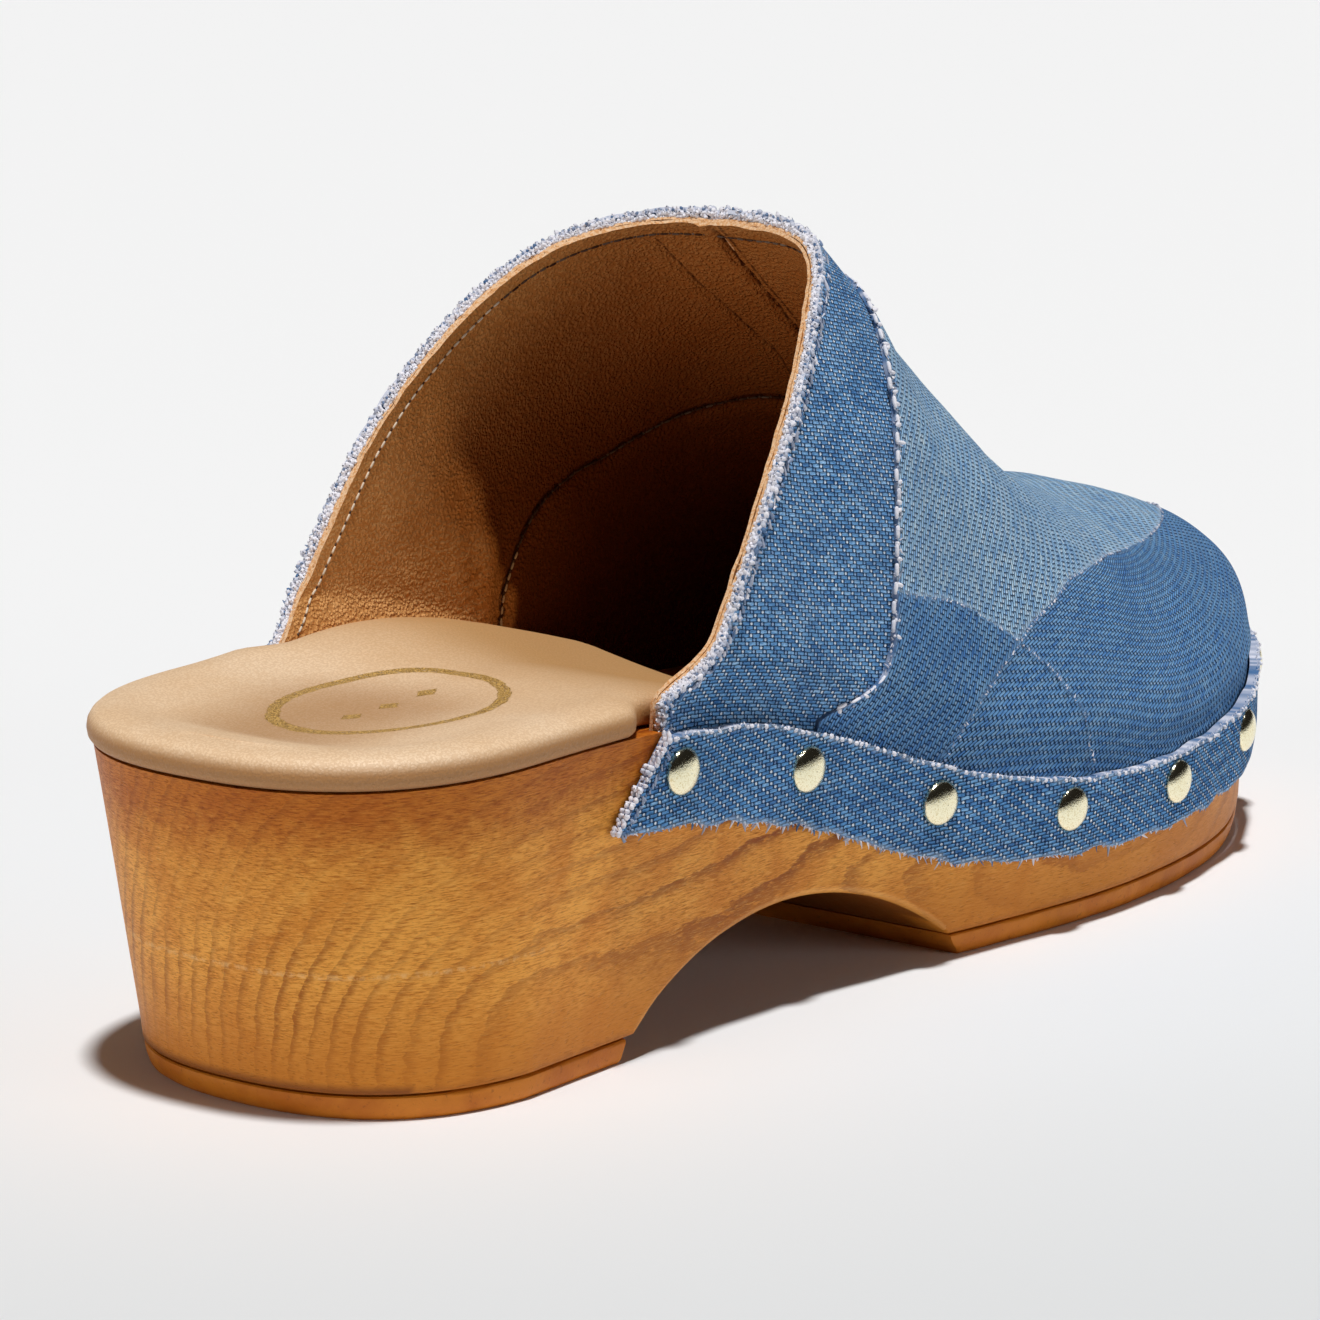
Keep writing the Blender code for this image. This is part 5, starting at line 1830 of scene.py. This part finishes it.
def fringe(name, path, every, length, radius, shade, seed, sink=0.3, out=0.0, lean=0.35, tangle=0.5,
           profile=TUFT, sides=4, lift=(-0.2, 0.5), keep=1.0, turn=1.0):
    """Yarn ends along a path, one every so many millimetres.

    Length and radius are (least, most). Shade is (mean, spread) and runs from white, 0, to blue, 1.
    """
    dice = np.random.default_rng(seed)
    at = np.arange(0.0, path.length, every / max(DETAIL, 0.7))
    at = np.clip(at + dice.uniform(-0.4, 0.4, len(at)) * every, 0, path.length)
    at = at[dice.random(len(at)) < keep]
    count = len(at)
    point, along, outward, past = path.at(at)
    raised = dice.uniform(*lift, count)[:, None]
    direction = past * turn + outward * raised + along * (lean + tangle * dice.normal(size=count))[:, None]
    roots = point - past * sink + outward * (out + 0.12 * dice.normal(size=count))[:, None]
    long = dice.uniform(*length, count)
    bend = along * dice.normal(size=count)[:, None] * 0.35
    bend = bend + outward * dice.uniform(-0.5, 0.3, count)[:, None]
    thick = dice.uniform(*radius, count)
    shades = np.clip(dice.normal(shade[0], shade[1], count), 0, 1)
    made = yarns(name, roots, direction, long, thick, yarn_finish, shades, bend * long[:, None] * 0.5,
                 profile, sides)


TOPLINE_FRINGES = (         # name, place behind the topline, height, spacing, length, radius, shade
    ("inner_white", 0.15, -1.25, 0.45, (0.45, 0.80), (0.28, 0.40), (0.00, 0.03)),
    ("white", 0.05, -0.85, 0.50, (0.60, 1.00), (0.32, 0.46), (0.00, 0.04)),
    ("outer_white", 0.15, -0.30, 0.75, (0.70, 1.20), (0.34, 0.52), (0.06, 0.15)),
    ("outer_mixed", 0.35, 0.15, 0.95, (0.70, 1.20), (0.30, 0.50), (0.25, 0.30)),
)
TOP_ANGLES = np.linspace(-9.0, 189.0, 900)
top_y = topline(TOP_ANGLES)
for label, back, height, every, length, radius, shade in TOPLINE_FRINGES:
    line = path_on_last(top_y + back, TOP_ANGLES, height)
    fringe(f"topline_{label}_ends", line, every, length, radius, shade, 61, profile=PILL, sides=5,
           lift=(-0.1, 0.4))
dot_line = path_on_last(top_y - 0.25, TOP_ANGLES, -0.30)
fringe("topline_blue_ends", dot_line, 0.90, (0.35, 0.7), (0.20, 0.32), (0.85, 0.10), 62, profile=PILL,
       sides=5, lift=(0.0, 0.5), keep=0.75)
blue_top = path_on_last(top_y + 1.5, TOP_ANGLES, 0.10)
fringe("topline_tufts", blue_top, 0.80, (0.9, 2.0), (0.22, 0.42), (0.50, 0.40), 63, lift=(0.1, 0.7),
       tangle=0.9)

SEAM_ANGLES = np.linspace(2.0, 178.0, 700)
seam_y = seam(SEAM_ANGLES)
seam_lift = OVERLAP * clear_of_wood(SEAM_ANGLES)
seam_path = path_on_last(seam_y + 0.3, SEAM_ANGLES, seam_lift)
fringe("vamp_edge_ends", seam_path, 0.55, (0.4, 1.1), (0.12, 0.24), (0.35, 0.35), 64, lift=(-0.6, 0.4),
       tangle=1.1)
fringe("vamp_edge_fluff", seam_path, 0.80, (0.6, 1.5), (0.15, 0.30), (0.40, 0.40), 67, lift=(-0.1, 0.6),
       tangle=1.2, turn=-1.0)
fringe("vamp_edge_knots", seam_path, 2.85, (0.9, 1.4), (0.30, 0.46), (0.02, 0.05), 65, lift=(0.2, 0.7),
       sink=-0.2, tangle=0.6, profile=PILL, sides=6, turn=-1.0)


THREAD_RINGS = np.array([0.0, 0.08, 0.3, 0.5, 0.7, 0.92, 1.0])         # shares of a piece's length
THREAD_WIDTHS = np.array([0.35, 0.85, 1.0, 1.0, 1.0, 0.85, 0.35])
THREAD_SIDES = 6


def laid_thread(name, path, piece, gap, radius, shade, seed, out, past=0.0, finish=None, start=0.0,
                wobble=0.08):
    """A thread lying along a path in pieces, such as stitches or a loose yarn."""
    dice = np.random.default_rng(seed)
    at = np.arange(start, path.length - piece, piece + gap)
    long = np.full(len(at), piece)
    first, _, outward, beyond = path.at(at)
    last, _, _, _ = path.at(at + long)
    middle, _, _, _ = path.at(at + long / 2)
    shift = outward * out + beyond * (past + wobble * dice.normal(size=len(at)))[:, None]
    rise = middle - (first + last) / 2
    rings = THREAD_RINGS
    centre = first[:, None] + (last - first)[:, None] * rings[None, :, None]
    centre = centre + (rise[:, None] * 4 * (rings * (1 - rings))[None, :, None]) + shift[:, None]
    across = unit(np.cross(last - first, outward))
    width = THREAD_WIDTHS * radius
    points = centre[:, :, None] + circles(across, outward, THREAD_SIDES)[:, None] * width[None, :, None, None]
    faces = rod_faces(len(at), len(rings), THREAD_SIDES)
    tone = np.clip(dice.normal(shade[0], shade[1], len(at)), 0, 1)
    shades = np.repeat(tone, len(rings) * THREAD_SIDES)
    made = make_piece(name, points, faces, [finish or yarn_finish], {"shade": shades}, merge=0)


laid_thread("vamp_edge_slubs", seam_path, 1.9, 0.95, 0.34, (0.02, 0.06), 66, out=0.10, past=0.10, wobble=0.32)

# %% Edges of the band
band_s = np.linspace(0, band_length, 1600)
low_point, low_y, low_side, _ = band_point(band_s, np.zeros(len(band_s)))
high_point, high_y, high_side, _ = band_point(band_s, np.ones(len(band_s)))
low_edge = Path(low_point, flat_normal(low_y, low_side), np.array([0, 0, -1.0]))
high_edge = Path(high_point, flat_normal(high_y, high_side), np.array([0, 0, 1.0]))
fringe("band_low_ends", low_edge, 0.55, (0.45, 1.15), (0.15, 0.30), (0.40, 0.36), 71, out=-0.5,
       lift=(-0.4, 0.2), tangle=0.8)
fringe("band_low_tufts", low_edge, 1.5, (1.0, 2.3), (0.20, 0.38), (0.45, 0.40), 72, out=-0.7,
       lift=(-0.3, 0.1), tangle=0.8, lean=0.9)
fringe("band_high_ends", high_edge, 0.60, (0.3, 0.8), (0.16, 0.30), (0.35, 0.36), 73, out=-0.4,
       lift=(-0.1, 0.4))
fringe("band_high_slubs", high_edge, 1.6, (0.5, 0.9), (0.26, 0.42), (0.03, 0.08), 74, out=-0.05,
       lean=0.4, sink=0.5, tangle=0.8, profile=PILL, sides=6)
up_share = np.linspace(0, 1, 60)
for label, length, side in (("lateral", 0.0, 1), ("medial", band_length, -1)):
    point, y, _, _ = band_point(np.full(60, length), up_share)
    end_edge = Path(point, flat_normal(y, side), np.array([0.0, -1.0, 0.0]))
    for row, out in (("outer", -0.25), ("inner", -1.15)):
        fringe(f"band_{label}_{row}_loops", end_edge, 0.66, (0.8, 1.4), (0.32, 0.48), (0.04, 0.10), 75,
               out=out, sink=0.1, lift=(-0.3, 0.4), tangle=0.9, profile=PILL, sides=6)
    fringe(f"band_{label}_end_tufts", end_edge, 0.45, (0.6, 1.4), (0.18, 0.34), (0.80, 0.20), 76,
           out=0.05, sink=1.3, lift=(0.0, 0.4))


# %% [markdown]
# ### Patch edges
# The patches' raw edges shed the same yarns, in a short mixed fringe.

# %% Patch edges
def patch_path(line, side, lift):
    """A path over the last along corners given as place and girth from the wood's edge."""
    corners = np.array(line, float)
    reach = np.concatenate([[0.0], np.cumsum(np.hypot(*np.diff(corners, axis=0).T))])
    t = np.linspace(0, reach[-1], 400)
    y = np.interp(t, reach, corners[:, 0])
    height = np.interp(t, reach, corners[:, 1])
    around_it = np.linspace(0, 90, 361)
    true_angle = np.where(side > 0, around_it, 180 - around_it)
    angle = np.array([np.interp(h, girth(np.full(around_it.size, p), true_angle), around_it)
                      for p, h in zip(y, height)])
    kept = (height > 0.8) & (y > seam(angle) + 0.5) & (y < TOE_TIP - 6)
    y, angle = y[kept], angle[kept]
    angle = angle if side > 0 else 180 - angle
    return path_on_last(y, angle, lift, beyond=(0.0, 0.0, 1.0))


for label, side in (("lateral", 1), ("medial", -1)):
    top_path = patch_path(PATCH_TOP, side, OVERLAP + 0.3)
    toe_path = patch_path(TOE_PATCH_EDGE, side, OVERLAP + 0.3)
    for row, path, tone, seed in (("patch", top_path, 0.5, 81), ("toe_patch", toe_path, 0.45, 82)):
        fringe(f"{label}_{row}_ends", path, 0.8, (0.25, 0.7), (0.12, 0.22), (tone, 0.35), seed,
               lift=(-0.3, 0.4), tangle=0.8)


# %% [markdown]
# ## Stitches in the lining
# A row of short stitches runs inside the topline, and the curved seam is sewn the same way. The
# thread lies in the trough, and a dark piece of painted shade stands for the needle hole between one
# stitch and the next. The thread is painted pale where the medial lining is lit low down, and near
# black where it lies in shade.

# %% Stitches
STITCH = 1.25
STITCH_GAP = 0.60
STITCH_SEED = 91
HOLE_SEED = 92
BEHIND_TOPLINE = 2.7
HOLE = 0.45
LIT_STITCHES_FROM = 140.0


def stitch_row(name, y, angle, relief, shade):
    """A row of stitches in the lining, each followed by a dark piece of painted shade for its needle hole."""
    path = path_on_last(y, angle, -WALL + 0.6 * soft_dents(y, angle) + relief)
    laid_thread(f"{name}_stitches", path, STITCH, STITCH_GAP, 0.19, shade, STITCH_SEED, out=-0.08,
                finish=thread_finish, wobble=0.03)
    laid_thread(f"{name}_needle_hole_shade", path, HOLE, STITCH + STITCH_GAP - HOLE, 0.22, (0.95, 0.05), HOLE_SEED,
                out=0.05, start=STITCH + 0.08, finish=thread_finish, wobble=0.0)


# pale thread where the medial lining is lit low down; near black, as painted shade, where it lies in shade
TOPLINE_ROWS = (            # label, first and last angle, shade
    ("medial", LIT_STITCHES_FROM, 178.5, (0.06, 0.06)),
    ("upper", 1.5, LIT_STITCHES_FROM, (0.92, 0.06)),
)
for label, low, high, shade in TOPLINE_ROWS:
    angle = np.linspace(low, high, 600)
    stitch_row(f"topline_{label}", topline(angle) + BEHIND_TOPLINE, angle, 0.0, shade)
curve_angle = np.linspace(98.0, 177.0, 500)
curve_y = smooth(CURVED_SEAM, "y", curve_angle, key="angle")
# the curved seam lies in shade, so its thread is painted near black
stitch_row("curved_seam", curve_y, curve_angle, lining_relief(curve_y, curve_angle) * 0.4, (0.95, 0.04))
# its foot lies in the lit patch, so there the thread is painted pale
foot_angle = np.linspace(168.0, 177.0, 60)
foot_y = smooth(CURVED_SEAM, "y", foot_angle, key="angle")
stitch_row("seam_foot", foot_y, foot_angle, lining_relief(foot_y, foot_angle) * 0.3 - 0.15, (0.05, 0.05))

# %% Raised leather fibres on the topline
leather_edge = path_on_last(top_y + 0.05, TOP_ANGLES, -1.9)
dice = np.random.default_rng(93)
fibre_at = np.sort(dice.uniform(0, leather_edge.length, int(260 * DETAIL)))
point, along, outward, past = leather_edge.at(fibre_at)
count = len(fibre_at)
fibre_way = past + outward * dice.normal(0, 0.5, count)[:, None]
fibre_way = fibre_way + along * dice.normal(0, 0.8, count)[:, None]
fibre_root = point - past * 0.1 + outward * dice.uniform(-0.5, 0.4, count)[:, None]
fibre_length = dice.uniform(0.2, 0.55, count)
fibre_radius = dice.uniform(0.05, 0.12, count)
fibre_shade = np.clip(dice.normal(0.3, 0.3, count), 0, 1)
fibres = yarns("leather_edge_fibres", fibre_root, fibre_way, fibre_length, fibre_radius, fibre_finish,
               fibre_shade)

# %% [markdown]
# ## Room, light and camera
# The shoe stands on pale seamless paper, painted darker near the camera and lighter towards the far
# left, as the light falls off. One small, hard light almost overhead, a little towards the lateral
# rear, does nearly all the work and throws a short, crisp shadow. Two white cards stand low, one at the
# lateral side and one behind the heel, and fill the sides softly. Nothing shines into the opening, and
# painted shade in the lining's colour keeps the inside of the upper deep. The paper also throws light
# back up.

# %% Room, light and camera
PAPER_NEAR_SHADED = (0.740, 0.752, 0.758)
PAPER_FAR_LIT = (0.957, 0.957, 0.958)
PAPER_LIGHT_FALLOFF = (-230.0, 200.0)       # painted falloff of light, from the near side to the far left
ROOM_COLOUR = (1.0, 0.95, 0.9, 1.0)
ROOM_STRENGTH = 0.015
LIT_POINT = (0, 90, 30)
KEY_ENERGY = 2.80
KEY_SOFTNESS = 4.5
KEY_AZIMUTH = 40.0
KEY_ELEVATION = 81.0
CARD_SOFTNESS = 35.0
CARDS = (                           # name, energy, azimuth, elevation
    ("side_card", 0.62, -10.0, 8.0),
    ("back_card", 0.95, 108.0, 5.0),
)
LENS = 149.12
CAMERA_AT = (495.85, -559.36, 232.18)
CAMERA_LOOKS_AT = (0.0, 99.4, 46.7)
FLOOR_HALF = 6                      # metres


def place(x, y, z):
    return Vector(np.array([x, y, z]) * MM + ORIGIN)


def aim(thing, target):
    thing.rotation_euler = (target - thing.location).to_track_quat("-Z", "Y").to_euler()


def make_paper():
    made, n, shader = new_finish("pale_paper")
    near = n.shoe_place()
    x, y, _ = n.split(near)
    # paper painted darker near the camera and lighter far off, as the light falls off
    far_left = n.plus(n.times(x, -0.75), n.times(y, 0.66))
    n.coat(shader, n.mix(n.fit(far_left, *PAPER_LIGHT_FALLOFF), PAPER_NEAR_SHADED, PAPER_FAR_LIT), 0.9, 0.1)
    return made


floor_mesh = bpy.data.meshes.new("floor")
floor_corners = [(x * FLOOR_HALF, y * FLOOR_HALF, 0) for x, y in ((-1, -1), (1, -1), (1, 1), (-1, 1))]
floor_mesh.from_pydata(floor_corners, [], [(0, 1, 2, 3)])
floor = bpy.data.objects.new("pale_floor", floor_mesh)
bpy.context.scene.collection.objects.link(floor)
floor.data.materials.append(make_paper())
floor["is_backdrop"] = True

world = bpy.data.worlds.new("dim_studio")
bpy.context.scene.world = world
world.use_nodes = True
room = world.node_tree.nodes["Background"].inputs
room["Color"].default_value = ROOM_COLOUR
room["Strength"].default_value = ROOM_STRENGTH


def add_sun(name, energy, softness, azimuth, elevation):
    """A distant light, angles in degrees; azimuth counts from the lateral side towards the heel."""
    data = bpy.data.lights.new(name, "SUN")
    data.energy = energy
    data.angle = math.radians(softness)
    lamp = bpy.data.objects.new(name, data)
    bpy.context.scene.collection.objects.link(lamp)
    azimuth, elevation = math.radians(azimuth), math.radians(elevation)
    level = math.cos(elevation)
    way = Vector((level * math.cos(azimuth), -level * math.sin(azimuth), math.sin(elevation)))
    lamp.location = place(*LIT_POINT) + 2 * way
    aim(lamp, place(*LIT_POINT))
    return lamp


add_sun("key", KEY_ENERGY, KEY_SOFTNESS, KEY_AZIMUTH, KEY_ELEVATION)
for name, energy, azimuth, elevation in CARDS:
    card = add_sun(name, energy, CARD_SOFTNESS, azimuth, elevation)
    card.visible_glossy = False

camera_data = bpy.data.cameras.new("camera")
camera_data.lens = LENS
camera = bpy.data.objects.new("camera", camera_data)
bpy.context.scene.collection.objects.link(camera)
camera.location = place(*CAMERA_AT)
aim(camera, place(*CAMERA_LOOKS_AT))
bpy.context.scene.camera = camera
bpy.context.scene.view_settings.view_transform = "Standard"

# %% Sizes, then the end
def corners(box):
    return [list(corner) for corner in box]


{"solids": corners(CAD_BOX), "pieces": corners(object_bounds())}
